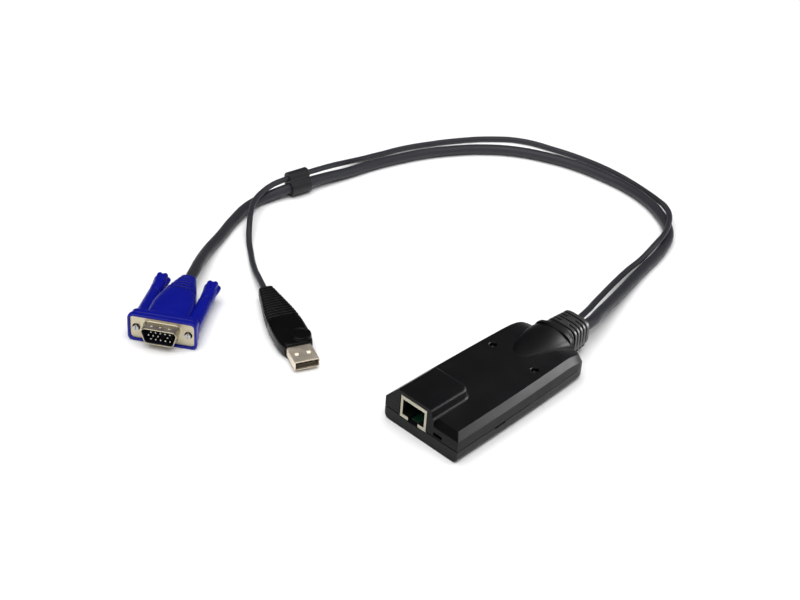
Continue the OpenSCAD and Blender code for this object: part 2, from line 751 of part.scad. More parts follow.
module jack_contacts() {
    // Each wire comes up through the board, runs forward in the roof and springs back down
    color("#c8a24a") for (i = [0 : contact_count - 1]) translate([contact_x(i) - contact_t / 2, 0, 0]) {
        box([0, contact_back - contact_t / 2, board_z - board_t - contact_t],
            [contact_t, contact_t, contact_z - board_z + board_t + contact_t]);
        box([0, contact_lip, contact_z - contact_t / 2],
            [contact_t, contact_back - contact_lip + contact_t / 2, contact_t]);
        translate([0, contact_lip, contact_z - contact_t / 2]) rotate([-contact_angle, 0, 0])
            cube([contact_t, contact_spring, contact_t]);
    }
}
// A moulded chip with two rows of legs
chip_lift = 0.15;
module chip(w, l, h, legs) {
    leg_w = w / legs / 2;
    translate([-w / 2, -l / 2, chip_lift]) cube([w, l, h]);
    for (i = [0 : legs - 1]) for (side = [-1, 1]) {
        translate([w * ((i + 0.5) / legs - 0.5) - leg_w / 2, side * l / 2 - leg_w, 0])
            cube([leg_w, 2 * leg_w, h / 2]);
    }
}
controller_w = 14;
controller_h = 1.6;
controller_at = [0, 50];
controller_legs = 10;
driver_size = [12.8, 7.5, 2.3];
driver_at = [-7, 33];
driver_legs = 7;
module main_controller() {
    color("#26282b") translate([controller_at[0], front_y + controller_at[1], board_z]) {
        chip(controller_w, controller_w, controller_h, controller_legs);
    }
}
module line_driver() {
    color("#26282b") translate([driver_at[0], front_y + driver_at[1], board_z]) {
        chip(driver_size[0], driver_size[1], driver_size[2], driver_legs);
    }
}
crystal_w = 10.5;
crystal_t = 4.4;
crystal_h = 3.5;
crystal_rim = 0.4;
crystal_at = [9, 36];
module crystal() {
    color("#b9bcc0") translate([crystal_at[0], front_y + crystal_at[1], board_z]) {
        linear_extrude(crystal_rim) {
            rounded(crystal_w + 2 * crystal_rim, crystal_t + 2 * crystal_rim,
                    crystal_t / 2 - crystal_rim);
        }
        linear_extrude(crystal_h) rounded(crystal_w, crystal_t, crystal_t / 2 - crystal_rim);
    }
}
can_r = 2.5;
can_h = 5.2;
can_base_h = 0.8;
can_at = [[11, 16], [11, 24]];
module capacitors() {
    color("#a8abb0") for (at = can_at) translate([at[0], front_y + at[1], board_z]) {
        translate([-can_r, -can_r, 0]) cube([2 * can_r, 2 * can_r, can_base_h]);
        cylinder(r = can_r - seat, h = can_h, $fn = fine);
    }
}
module status_leds() {
    top = panel_z - lamp_sink - lamp_r;
    color("#2c3a2e") for (side = [-1, 1]) translate([side * lamp_x, lamp_y, 0]) {
        translate([0, 0, top]) sphere(r = lamp_r, $fn = fine);
        translate([0, 0, top - lamp_body]) cylinder(r = lamp_r, h = lamp_body, $fn = fine);
        translate([0, 0, top - lamp_body]) cylinder(r = lamp_r + lamp_rim, h = lamp_rim_h, $fn = fine);
        for (leg = [-1, 1]) translate([leg * lamp_leg_pitch / 2, 0, board_z]) {
            cylinder(r = lamp_leg_r, h = top - lamp_body - board_z + seat, $fn = fine);
        }
    }
}
header_h = 4.2;
header_t = 4.6;
header_wall = 0.8;
header_floor = 1.6;
vga_header_w = 15;
usb_header_w = 9.4;
header_y = board_rear - header_t - 6.6;
vga_header_x = 6.3;
usb_header_x = -7.0;
module header(x, w) {
    translate([x, header_y, board_z]) difference() {
        translate([-w / 2, 0, 0]) cube([w, header_t, header_h]);
        translate([-w / 2 + header_wall, header_wall, header_floor])
            cube([w - 2 * header_wall, header_t - 2 * header_wall, header_h]);
    }
}
module vga_header() {
    color("#e6e3d8") header(vga_header_x, vga_header_w);
}
module usb_header() {
    color("#e6e3d8") header(usb_header_x, usb_header_w);
}
// Leads fan out of a jacket's end and reach the header's rear face
vga_lead_r = 0.4;
vga_lead_count = 6;
vga_lead_pitch = 2.2;
usb_lead_r = 0.35;
usb_lead_count = 4;
usb_lead_pitch = 2.0;
lead_sides = 6;
module leads(x, r, count, pitch, header_x, spread) {
    reach = jacket_y - header_y - header_t;
    for (i = [0 : count - 1]) {
        step = i - (count - 1) / 2;
        from = [x + step * spread, 0, exit_z + (i % 2 == 0 ? 1 : -1) * spread];
        to = [header_x + step * pitch, 0, board_z + header_h - 2 * r];
        tube([[from[0], jacket_y - seat, from[2]], [from[0], jacket_y - reach / 5, from[2]],
              [to[0], header_y + header_t + reach / 5, to[2]], [to[0], header_y + header_t + seat, to[2]]],
             r, lead_sides);
    }
}
module vga_leads() {
    color("#b23a32") leads(vga_x, vga_lead_r, vga_lead_count, vga_lead_pitch, vga_header_x,
                           vga_r / vga_lead_count * 1.6);
}
module usb_leads() {
    color("#3b8a4e") leads(usb_x, usb_lead_r, usb_lead_count, usb_lead_pitch, usb_header_x,
                           usb_r / usb_lead_count * 1.3);
}

// Boot: ribs on a core, with the stem and the flange that the shells trap
rib_pitch = boot_l / (rib_count + 0.24);
function rib_w(k) = neck_w + (boot_end_w - neck_w) * k / (rib_count - 1);
function rib_h(k) = neck_h + (boot_end_h - neck_h) * k / (rib_count - 1);
function rib_y(k) = boot_y + groove_w + k * rib_pitch;
function rib_end(k) = k == rib_count - 1 ? exit_y : rib_y(k + 1) - groove_w;
module rib_slab(k, y0, length, less) {
    along_y(y0, length) translate([0, exit_z]) {
        rounded(rib_w(k) - 2 * less, rib_h(k) - 2 * less, boot_round - less);
    }
}
module strain_relief() {
    color("#3a3c40") difference() {
        union() {
            rib_slab(rib_count - 1, boot_y, boot_l, groove_d);
            along_y(stem_front, boot_y - stem_front + over) {
                translate([0, exit_z]) rounded(stem_w, stem_h, stem_round);
            }
            intersection() {
                along_y(flange_y, flange_t) translate([0, (flange_low + flange_high) / 2]) {
                    rounded(flange_w, flange_high - flange_low, flange_t);
                }
                above(flange_low);
            }
            for (k = [0 : rib_count - 1]) {
                rib_slab(k, rib_y(k), rib_end(k) - rib_y(k), 0);
                // Webs keep the grooves from going all round
                intersection() {
                    rib_slab(k, rib_y(k) - groove_w, groove_w + seat, seat);
                    union() {
                        for (side = [-1, 1]) {
                            box([side * (neck_w / 2 - bridge_w / 2) - bridge_w / 2, boot_y,
                                 exit_z - neck_h / 2], [bridge_w, boot_l, bridge_low + bridge_low / 2]);
                        }
                        if (k % 2 == 1) {
                            box([-bridge_w / 2, boot_y, exit_z], [bridge_w, boot_l, neck_h]);
                        }
                    }
                }
            }
        }
        rod(vga_x, stem_front - over, exit_z, vga_r + cable_gap, total_l);
        rod(usb_x, stem_front - over, exit_z, usb_r + cable_gap, total_l);
    }
}

// Cables
module vga_cable() {
    path = concat([[vga_x, jacket_y, exit_z]], route_points(vga_route, vga_x, vga_r, vga_lifts),
                  [plug_point(vga_end, vga_x, vga_axis_z, vga_yaw, 0),
                   plug_point(vga_end, vga_x, vga_axis_z, vga_yaw, hood_bore_l - seat)]);
    color("#34363a") tube(path, vga_r, vga_sides);
}
module usb_cable() {
    path = concat([[usb_x, jacket_y, exit_z]], route_points(usb_route, usb_x, usb_r, usb_lifts),
                  [plug_point(usb_end, usb_x, usb_axis_z, usb_yaw, 0),
                   plug_point(usb_end, usb_x, usb_axis_z, usb_yaw, grip_bore_l - seat)]);
    color("#34363a") tube(path, usb_r, usb_sides);
}

// Collar: two rings that grow into each other, one above the other
module collar_rings(grow) {
    circle(r = vga_r + collar_gap + grow, $fn = fine);
    translate([-collar_side, collar_rise]) circle(r = usb_r + collar_gap + grow, $fn = fine);
}
module cable_collar() {
    color("#56585c") translate([vga_x + collar_at[0], exit_y + collar_at[1], collar_lift + vga_r])
        rotate([0, 0, collar_yaw]) along_y(-collar_l / 2, collar_l) difference() {
            union() {
                collar_rings(collar_wall);
                translate([-collar_side / 2, collar_rise / 2]) rotate(atan2(collar_side, collar_rise))
                    square([collar_waist, collar_rise / 2], center = true);
            }
            collar_rings(0);
        }
}

// Video plug
module at_vga_plug() {
    translate(plug_point(vga_end, vga_x, vga_axis_z, vga_yaw, hood_l)) rotate([0, 0, vga_yaw])
        children();
}
// Outline of the D, let out by d, as [x, z] about the plug's axis
function arc_points(x, z, r, from, to, n) = [for (k = [0 : n]) let (a = from + (to - from) * k / n)
    [x + r * cos(a), z + r * sin(a)]];
d_arc_steps = 5;
function d_outline(d) = let (
    lean = atan2((d_top - d_bottom) / 2, d_h),
    r = d_round + d,
    top = d_top / 2 - d_round,
    low = d_bottom / 2 - d_round,
    z = d_h / 2 - d_round)
    concat(arc_points(top, z, r, -lean, 90, d_arc_steps),
           arc_points(-top, z, r, 90, 180 + lean, d_arc_steps),
           arc_points(-low, -z, r, 180 + lean, 270, d_arc_steps),
           arc_points(low, -z, r, 270, 360 - lean, d_arc_steps));
module screw_places() {
    for (side = [-1, 1]) translate([side * screw_pitch / 2, 0, 0]) children();
}
function hood_half(y, column) = let (s = (y - hood_start) / (hood_l - hood_start))
    share_at(hood_shares, s, column);
// Grooves draw the section in between their edges
function in_groove(y, first, pitch, count, w) =
    len([for (k = [0 : count - 1]) if (abs(y - first - k * pitch) < w / 2) 1]) > 0;
function groove_stops(first, pitch, count, w) = [for (k = [0 : count - 1])
    each [first + k * pitch - w / 2 - w / 4, first + k * pitch - w / 4,
          first + k * pitch + w / 4, first + k * pitch + w / 2 + w / 4]];
hood_power = 3;
hood_sides = 28;
module hood_body() {
    plain = [for (row = hood_shares) hood_start + row[0] * (hood_l - hood_start)];
    stops = groove_stops(hood_groove_first, hood_groove_pitch, hood_grooves, hood_groove_w);
    places = concat([for (y = plain) if (y < stops[0] - hood_groove_w) y], stops,
                    [for (y = plain) if (y > stops[len(stops) - 1] + hood_groove_w / 2) y]);
    skin([for (y = places) let (
        less = in_groove(y, hood_groove_first, hood_groove_pitch, hood_grooves, hood_groove_w)
               ? hood_groove_d : 0)
        stand(squircle(hood_half_w * hood_half(y, 1) - less, hood_half_h * hood_half(y, 2) - less, 0,
                       hood_power, hood_sides), y)]);
}
bezel_w = plate_w + 2 * bezel_rim;
bezel_h = plate_h + 2 * bezel_rim;
module vga_hood() {
    color("#1d27b4") at_vga_plug() difference() {
        union() {
            along_y(-bezel_out, bezel_out + bezel_t) rounded(bezel_w, bezel_h, bezel_round);
            along_y(bezel_t - seat, groove_t + 2 * seat) {
                rounded(bezel_w - 4 * back_flange_in, bezel_h - 4 * back_flange_in, bezel_round);
            }
            along_y(bezel_t + groove_t, back_flange_t) {
                rounded(bezel_w - 2 * back_flange_in, bezel_h - 2 * back_flange_in, bezel_round + back_flange_in);
            }
            hood_body();
            screw_places() {
                rod(0, bezel_t, 0, tunnel_d / 2, tunnel_l - bezel_t);
                translate([0, bezel_t, 0]) rotate([-90, 0, 0]) {
                    cylinder(r1 = tunnel_d / 2 + collar_step, r2 = tunnel_d / 2, h = tunnel_root, $fn = fine);
                }
            }
        }
        // Pocket for the plate, room for the insert and its pins, bores for the screws and the cable
        along_y(-bezel_out - over, bezel_out + over + plate_t + seat) {
            rounded(plate_w + 2 * seat, plate_h + 2 * seat, plate_round + seat);
        }
        along_y(-over, over + insert_face + insert_l + pin_back + seat) {
            polygon(d_outline(d_root / 2 + seat));
        }
        screw_places() {
            rod(0, -over, 0, shank_d / 2 + shank_gap, hood_l);
            rod(0, -over, 0, plate_hole_r, over + bezel_t + back_flange_t);
        }
        rod(0, hood_l - hood_bore_l, 0, vga_r + cable_gap, hood_bore_l + over);
    }
}
module vga_faceplate() {
    color("#cfc6a6") at_vga_plug() difference() {
        union() {
            along_y(0, plate_t) rounded(plate_w, plate_h, plate_round);
            along_y(-d_l, d_l + seat) polygon(d_outline(0));
            // The drawn root of the D, in two steps
            along_y(-2 * d_root, 2 * d_root + seat) polygon(d_outline(d_root / 2));
            along_y(-d_root, d_root + seat) polygon(d_outline(d_root));
            for (i = [-1, 0, 1]) {
                translate([i * dimple_pitch, -d_l / 2, d_h / 2 - dimple_r + dimple_h]) {
                    sphere(r = dimple_r, $fn = fine);
                }
            }
        }
        along_y(-d_l - over, d_l + plate_t + 2 * over) polygon(d_outline(-d_wall));
        screw_places() rod(0, -over, 0, plate_hole_r, plate_t + 2 * over);
    }
}
// Three rows of five, with one place of the middle row left empty
function pin_places() = [for (row = [-1, 0, 1]) for (i = [-2 : 2]) if (row != 0 || i != 1)
    [pin_pitch * (i + (row == 0 ? -0.25 : 0.25)), row * pin_row]];
module vga_insert() {
    color("#10121c") at_vga_plug() difference() {
        along_y(-insert_face, insert_face + insert_l) polygon(d_outline(-d_wall - seat));
        for (p = pin_places()) {
            rod(p[0], -insert_face - over, p[1], pin_d / 2 + seat / 2, insert_l + 2 * over + insert_face);
        }
    }
}
module vga_pins() {
    color("#b9b4a4") at_vga_plug() for (p = pin_places()) {
        rod(p[0], -pin_out + pin_d / 2, p[1], pin_d / 2, pin_out - pin_d / 2 + insert_l + pin_back);
        translate([p[0], -pin_out + pin_d / 2, p[1]]) sphere(r = pin_d / 2, $fn = fine / 2);
    }
}
module knob() {
    y0 = tunnel_l + knob_gap;
    difference() {
        intersection() {
            translate([0, y0, 0]) rotate([-90, 0, 0]) {
                cylinder(r1 = knob_front_d / 2, r2 = knob_d / 2, h = knob_l, $fn = fine);
            }
            along_y(y0 - over, knob_l + 2 * over) difference() {
                circle(r = knob_d / 2 + over, $fn = fine);
                for (k = [0 : flutes - 1]) rotate(360 * (k + 0.5) / flutes) {
                    translate([knob_d / 2 * flute_share, 0]) circle(r = flute_r, $fn = fine / 2);
                }
            }
        }
        rod(0, y0 - over, 0, shank_d / 2 + shank_gap, knob_l - knob_floor + over);
    }
}
module jackscrew() {
    difference() {
        union() {
            rod(0, -screw_out, 0, screw_d / 2, screw_out + bezel_t + back_flange_t + over);
            rod(0, bezel_t + back_flange_t / 2, 0, shank_d / 2,
                tunnel_l + knob_gap + knob_l - knob_floor - seat - bezel_t - back_flange_t / 2);
        }
        box([-slot_w / 2, -screw_out - over, -screw_d], [slot_w, over + slot_d, 2 * screw_d]);
    }
}
module left_knob() {
    color("#1d27b4") at_vga_plug() translate([-screw_pitch / 2, 0, 0]) knob();
}
module right_knob() {
    color("#1d27b4") at_vga_plug() translate([screw_pitch / 2, 0, 0]) knob();
}
module left_jackscrew() {
    color("#b8bac0") at_vga_plug() translate([-screw_pitch / 2, 0, 0]) jackscrew();
}
module right_jackscrew() {
    color("#b8bac0") at_vga_plug() translate([screw_pitch / 2, 0, 0]) jackscrew();
}

// Bus plug
module at_usb_plug() {
    translate(plug_point(usb_end, usb_x, usb_axis_z, usb_yaw, usb_back)) rotate([0, 0, usb_yaw])
        children();
}
grip_power = 4.5;
grip_sides = 24;
grip_groove_pitch = (grip_l + usb_out - grip_groove_first - grip_groove_w) / grip_grooves;
function grip_half(y, column) = share_at(grip_shares, (y - usb_out) / grip_l, column);
module grip_body() {
    plain = [for (row = grip_shares) usb_out + row[0] * grip_l];
    stops = groove_stops(grip_groove_first, grip_groove_pitch, grip_grooves, grip_groove_w);
    places = concat([for (y = plain) if (y < stops[0] - grip_groove_w) y], stops,
                    [for (y = plain) if (y > stops[len(stops) - 1] + grip_groove_w / 4) y]);
    skin([for (y = places) let (
        less = in_groove(y, grip_groove_first, grip_groove_pitch, grip_grooves, grip_groove_w)
               ? grip_groove_d : 0)
        stand(squircle(grip_half_w * grip_half(y, 1) - less, grip_half_h * grip_half(y, 2) - less, 0,
                       grip_power, grip_sides), y)]);
}
module usb_grip() {
    color("#17181a") at_usb_plug() difference() {
        union() {
            grip_body();
            translate([pad_at[0], pad_at[1], grip_half_h - over]) {
                cylinder(r1 = pad_r + pad_h / 2, r2 = pad_r, h = pad_h + over, $fn = fine);
            }
        }
        translate([pad_at[0], pad_at[1], grip_half_h + pad_h - pad_dish]) {
            cylinder(r = pad_r - pad_rim, h = over, $fn = fine);
        }
        along_y(-over, usb_out + usb_seat_l + over + seat) {
            rounded(usb_w + 2 * seat, usb_h + 2 * seat, usb_round + seat);
        }
        rod(0, usb_back - grip_bore_l, 0, usb_r + cable_gap, grip_bore_l + over);
    }
}
module usb_shell() {
    color("#c9c9c6") at_usb_plug() difference() {
        union() {
            along_y(usb_lip, usb_out + usb_seat_l - usb_lip) rounded(usb_w, usb_h, usb_round);
            along_y(0, usb_lip + seat) {
                rounded(usb_w - usb_lip, usb_h - usb_lip, usb_round - usb_lip / 4);
            }
        }
        along_y(-over, usb_out + usb_seat_l + 2 * over) {
            rounded(usb_w - usb_lip - usb_wall, usb_h - usb_lip - usb_wall, usb_round / 2);
        }
        along_y(usb_lip + usb_wall, usb_out + usb_seat_l) {
            rounded(usb_w - 2 * usb_wall, usb_h - 2 * usb_wall, usb_round - usb_wall / 2);
        }
        for (side = [-1, 1]) {
            box([side * usb_window_x - usb_window_w / 2, usb_window_y - usb_window_l / 2, -usb_h],
                [usb_window_w, usb_window_l, 2 * usb_h]);
        }
    }
}
tongue_low = -usb_h / 2 + usb_wall + tongue_gap;
module usb_insert() {
    tongue_w = usb_w - 2 * (usb_wall + usb_round / 2);
    color("#e4e4e0") at_usb_plug() difference() {
        box([-tongue_w / 2, tongue_back + usb_lip, tongue_low],
            [tongue_w, usb_out + usb_seat_l - tongue_back - usb_lip, tongue_h]);
        for (x = usb_contact_pitches) {
            box([x - usb_contact_w / 2 - seat, 2 * tongue_back + usb_lip - seat,
                 tongue_low + tongue_h - usb_contact_t],
                [usb_contact_w + 2 * seat, usb_contact_l + 2 * seat, over]);
        }
    }
}
module usb_contacts() {
    color("#c8a24a") at_usb_plug() for (x = usb_contact_pitches) {
        box([x - usb_contact_w / 2, 2 * tongue_back + usb_lip, tongue_low + tongue_h - usb_contact_t],
            [usb_contact_w, usb_contact_l, usb_contact_t]);
    }
}

top_shell();
bottom_shell();
circuit_board();
network_jack();
jack_contacts();
main_controller();
line_driver();
crystal();
capacitors();
status_leds();
vga_header();
usb_header();
vga_leads();
usb_leads();
strain_relief();
vga_cable();
usb_cable();
cable_collar();
vga_hood();
vga_faceplate();
vga_insert();
vga_pins();
left_knob();
right_knob();
left_jackscrew();
right_jackscrew();
usb_grip();
usb_shell();
usb_insert();
usb_contacts();
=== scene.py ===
# %% [markdown]
# # An adapter cable for a keyboard, video and mouse switch
# A small black case with a network jack sends out two cables through a ribbed boot. A collar holds
# them together, and they end in a blue 15-pin video plug and a black plug for the serial bus.
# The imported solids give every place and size. This lesson dresses them: smooth moulded shells,
# cables as curves, ribs and pins as Geometry Nodes, and a procedural finish for each material.

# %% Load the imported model
import json
from contextlib import contextmanager
from math import atan2, copysign, cos, degrees, dist, hypot, pi, radians, sin

import bmesh
import bpy
import numpy as np
from mathutils import Matrix, Vector


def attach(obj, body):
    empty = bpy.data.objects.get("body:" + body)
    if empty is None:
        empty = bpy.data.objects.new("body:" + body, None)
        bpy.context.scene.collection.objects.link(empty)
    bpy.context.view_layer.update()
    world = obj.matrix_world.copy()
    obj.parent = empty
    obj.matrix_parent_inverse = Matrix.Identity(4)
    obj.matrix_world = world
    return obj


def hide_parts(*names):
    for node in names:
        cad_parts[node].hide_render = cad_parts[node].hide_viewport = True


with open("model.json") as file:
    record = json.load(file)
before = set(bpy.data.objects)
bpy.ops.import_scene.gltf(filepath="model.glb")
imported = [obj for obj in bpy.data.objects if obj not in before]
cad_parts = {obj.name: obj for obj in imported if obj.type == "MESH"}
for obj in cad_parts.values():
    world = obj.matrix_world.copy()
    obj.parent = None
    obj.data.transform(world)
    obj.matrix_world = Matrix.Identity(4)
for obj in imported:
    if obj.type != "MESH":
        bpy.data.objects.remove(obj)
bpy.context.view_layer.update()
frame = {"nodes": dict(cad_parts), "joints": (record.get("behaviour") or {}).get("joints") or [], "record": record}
NODES = frame["nodes"]
MM = 0.001
SIDES = (-1, 1)
print("packed nodes:", len(NODES))

# %% [markdown]
# ## Camera
# The camera stands where the photograph was taken from: about 0.75 m away, to the right of the jack
# end and looking down at 36 degrees. Three directions and a place are all that a camera is, so its
# matrix is written out, and the lens follows from the picture's width in pixels.

# %% Camera at the photograph's viewing angle
PICTURE_WIDTH_PX, FOCAL_PX = 800, 1700.4
TURN, TILT, ROLL = 0.72846, 0.62032, 0.07385

backward = Vector((sin(TURN) * cos(TILT), -cos(TURN) * cos(TILT), sin(TILT)))
level_right = Vector((cos(TURN), sin(TURN), 0))
level_up = backward.cross(level_right)
right = cos(ROLL) * level_right + sin(ROLL) * level_up
up = cos(ROLL) * level_up - sin(ROLL) * level_right
camera_place = (right * -8.6 + up * 61.33 + backward * 745.57 + Vector((0, -53.15, 0))) * MM

camera_data = bpy.data.cameras.new("camera")
camera_data.sensor_width = 36
camera_data.lens = FOCAL_PX * camera_data.sensor_width / PICTURE_WIDTH_PX
camera_data.clip_start, camera_data.clip_end = 0.01, 20
camera = bpy.data.objects.new("camera", camera_data)
camera.matrix_world = Matrix.Translation(camera_place) @ Matrix((right, up, backward)).transposed().to_4x4()
bpy.context.scene.collection.objects.link(camera)
bpy.context.scene.camera = camera
print("camera at", [round(c, 3) for c in camera_place], "lens", round(camera_data.lens, 1), "mm")

# %% [markdown]
# ## Small helpers for meshes
# Moulded parts are mostly sections swept along a line, so one helper skins closed rings of points
# into a solid. Others settle modifiers into a plain mesh, cut and join solids, and set which edges
# stay sharp. Every piece is built at the origin of its own plug or boot and moved in its mesh.

# %% Helpers that make and finish meshes
SAME_POINT, SAME_NODE_POINT = 1e-7, 2e-6


def new_object(name, data):
    """Link a new object for a mesh, curve or light."""
    made = bpy.data.objects.new(name, data)
    bpy.context.scene.collection.objects.link(made)
    return made


@contextmanager
def opened(mesh):
    """Open a mesh for editing, and write it back afterwards."""
    work = bmesh.new()
    work.from_mesh(mesh)
    yield work
    work.to_mesh(mesh)
    work.free()


def mesh_from(name, points, faces):
    """Object from points in millimetres and faces, with outward normals."""
    mesh = bpy.data.meshes.new(name)
    mesh.from_pydata([Vector(p) * MM for p in points], [], faces)
    with opened(mesh) as work:
        bmesh.ops.remove_doubles(work, verts=work.verts, dist=SAME_POINT)
        bmesh.ops.recalc_face_normals(work, faces=work.faces)
    return new_object(name, mesh)


def skin(name, rings, closed=False):
    """Solid through rings of equally many points. If closed, the last ring joins the first."""
    count = len(rings[0])
    spans = len(rings) if closed else len(rings) - 1
    faces = []
    for i in range(spans):
        here, there = i * count, (i + 1) % len(rings) * count
        for k in range(count):
            after = (k + 1) % count
            faces.append((here + k, here + after, there + after, there + k))
    if not closed:
        faces.append(tuple(range(count))[::-1])
        faces.append(tuple(range(spans * count, len(rings) * count)))
    return mesh_from(name, [p for ring in rings for p in ring], faces)


def settle(piece):
    """Turn the result of a piece's modifiers into its plain mesh."""
    depsgraph = bpy.context.evaluated_depsgraph_get()
    mesh = bpy.data.meshes.new_from_object(piece.evaluated_get(depsgraph), preserve_all_data_layers=True,
                                           depsgraph=depsgraph)
    piece.modifiers.clear()
    old, piece.data = piece.data, mesh
    if old.users == 0:
        bpy.data.meshes.remove(old)
    return piece


def modify(piece, kind, **settings):
    """Add one modifier with its settings, and settle it."""
    modifier = piece.modifiers.new(kind.lower(), kind)
    for key, value in settings.items():
        setattr(modifier, key, value)
    return settle(piece)


def combine(piece, tools, operation):
    """Cut tools from a piece, or join them to it, and remove them."""
    for tool in tools:
        modifier = piece.modifiers.new(tool.name, "BOOLEAN")
        modifier.operation, modifier.solver, modifier.object = operation, "EXACT", tool
    settle(piece)
    for tool in tools:
        bpy.data.objects.remove(tool)
    return piece


def forget_normals(mesh):
    """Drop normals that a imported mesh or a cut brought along."""
    if "custom_normal" in mesh.attributes:
        mesh.attributes.remove(mesh.attributes["custom_normal"])


def smooth_faces(piece, angle):
    """Smooth shading that stays sharp past an angle and flat on large faces."""
    forget_normals(piece.data)
    piece.data.shade_smooth()
    with opened(piece.data) as work:
        for edge in work.edges:
            edge.smooth = len(edge.link_faces) == 2 and edge.calc_face_angle() < radians(angle)
    return modify(piece, "WEIGHTED_NORMAL", keep_sharp=True, weight=60)


def slice_mesh(mesh, place, normal, keep_near=False):
    """Cut a mesh along a plane, and perhaps drop what lies beyond it and fill the holes."""
    with opened(mesh) as work:
        bmesh.ops.bisect_plane(work, geom=work.verts[:] + work.edges[:] + work.faces[:], dist=SAME_POINT,
                               plane_co=place, plane_no=normal, clear_outer=keep_near)
        if keep_near:
            bmesh.ops.holes_fill(work, edges=[edge for edge in work.edges if edge.is_boundary])


def move_mesh(piece, matrix):
    """Move a piece's points and leave its object at the origin."""
    piece.data.transform(matrix)
    piece.data.update()
    return piece


def copy_of_node(node, name):
    """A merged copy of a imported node's loose triangles."""
    mesh = NODES[node].data.copy()
    mesh.name = name
    mesh.materials.clear()
    with opened(mesh) as work:
        bmesh.ops.remove_doubles(work, verts=work.verts, dist=SAME_NODE_POINT)
        bmesh.ops.dissolve_degenerate(work, edges=work.edges, dist=SAME_NODE_POINT / 2)
    forget_normals(mesh)
    return new_object(name, mesh)


# %% [markdown]
# ## Sections
# Three outlines come back again and again: the superellipse of soft mouldings, the rounded
# rectangle of plates, and the circle. A table of shares says how a moulding swells along its length,
# and a smooth curve through the table keeps the surface free of kinks.

# %% Outlines, solids along y and a smooth table lookup
def turns(first, last, steps):
    """Angles in radians from first to last degrees, both ends among them."""
    return [radians(first + (last - first) * k / steps) for k in range(steps + 1)]


def superellipse(half_w, half_h, power, count):
    """Closed outline [x, z] between an ellipse (power 2) and a rectangle."""
    around = [2 * pi * (k + 0.5) / count for k in range(count)]
    return [(half_w * copysign(abs(cos(t)) ** (2 / power), cos(t)),
             half_h * copysign(abs(sin(t)) ** (2 / power), sin(t))) for t in around]


def rounded_rectangle(width, height, radius, arc=8):
    """Closed outline [x, z] of a rectangle with round corners."""
    reach_x, reach_z = width / 2 - radius, height / 2 - radius
    return [(sx * reach_x + radius * cos(t), sz * reach_z + radius * sin(t))
            for number, (sx, sz) in enumerate(((1, 1), (-1, 1), (-1, -1), (1, -1)))
            for t in turns(90 * number, 90 * number + 90, arc)]


def let_out(width, height, radius):
    """Function that gives a rounded rectangle let out by a distance."""
    return lambda grow: rounded_rectangle(width + 2 * grow, height + 2 * grow, radius + grow)


def circle(radius, count=48, at=(0, 0)):
    """Closed circle."""
    return [(at[0] + radius * cos(2 * pi * k / count),
             at[1] + radius * sin(2 * pi * k / count)) for k in range(count)]


def at_depth(outline, y):
    """Stand an outline [x, z] up at a depth y."""
    return [(x, y, z) for x, z in outline]


def at_height(outline, z):
    """Lay an outline [x, y] down at a height z."""
    return [(x, y, z) for x, y in outline]


def drawn(name, outline_at, profile, closed=False):
    """Solid along y, its outline let out by grow at each (grow, y)."""
    return skin(name, [at_depth(outline_at(grow), y) for grow, y in profile], closed)


def turned(name, profile, count, at=(0, 0)):
    """Round solid along y through each (radius, y)."""
    return drawn(name, lambda radius: circle(radius, count, at), profile)


def bar(name, x, z, radius, y0, y1, count=32):
    """Plain round cutter along y."""
    return turned(name, [(radius, y0), (radius, y1)], count, (x, z))


def prism(name, outline, z0, z1):
    """Upright block over an outline [x, y]."""
    return skin(name, [at_height(outline, z) for z in (z0, z1)])


def soft_ends(y0, y1, radius, steps=4):
    """Profile of (grow, y) from y0 to y1 whose end edges are rounded."""
    quarter = turns(0, 90, steps)
    return ([(-radius * (1 - sin(t)), y0 + radius * (1 - cos(t))) for t in quarter]
            + [(-radius * (1 - cos(t)), y1 - radius * (1 - sin(t))) for t in quarter])


def smooth_lookup(table, place, column):
    """Value of a table at a place, on a curve that doesn't overshoot."""
    xs, ys = [row[0] for row in table], [row[column] for row in table]
    steps = [(ys[i + 1] - ys[i]) / (xs[i + 1] - xs[i]) for i in range(len(xs) - 1)]
    slopes = []
    for before, after in zip([steps[0]] + steps, steps + [steps[-1]]):
        slopes.append(0 if before * after <= 0 else 2 * before * after / (before + after))
    place = min(max(place, xs[0]), xs[-1])
    i = max(k for k in range(len(xs) - 1) if xs[k] <= place)
    width = xs[i + 1] - xs[i]
    t = (place - xs[i]) / width
    return (ys[i] * (1 + 2 * t) * (1 - t) ** 2 + slopes[i] * width * t * (1 - t) ** 2
            + ys[i + 1] * t * t * (3 - 2 * t) + slopes[i + 1] * width * t * t * (t - 1))


def swell(table, share, halves):
    """Half sizes at a share of a moulding's length, from a table of their shares."""
    return [half * smooth_lookup(table, share, column) for column, half in enumerate(halves, 1)]


def section(half_at, y, less, power, count):
    """Ring of a moulding at a depth, a little less than its half sizes."""
    return at_depth(superellipse(*(half - less for half in half_at(y)), power, count), y)


def outside(halves, less, x, z, power):
    """Whether a point lies outside a superellipse a little less than half sizes."""
    return (abs(x) / (halves[0] - less)) ** power + (abs(z) / (halves[1] - less)) ** power > 1


# %% [markdown]
# ## Where the plugs are
# The two thumbscrews turn about axes that the record gives, so the video plug's own frame comes from
# them: its middle is halfway between, and its front looks along the axes. The bus plug's frame comes
# from its mount. In both frames the plug's mouth looks along -y and the cable enters from +y.

# %% Frames of the two plugs
joints = {joint["name"]: joint for joint in frame["joints"]}
bus_mount = next(mount for mount in frame["record"]["mounts"] if mount["name"] == "bus_plug")


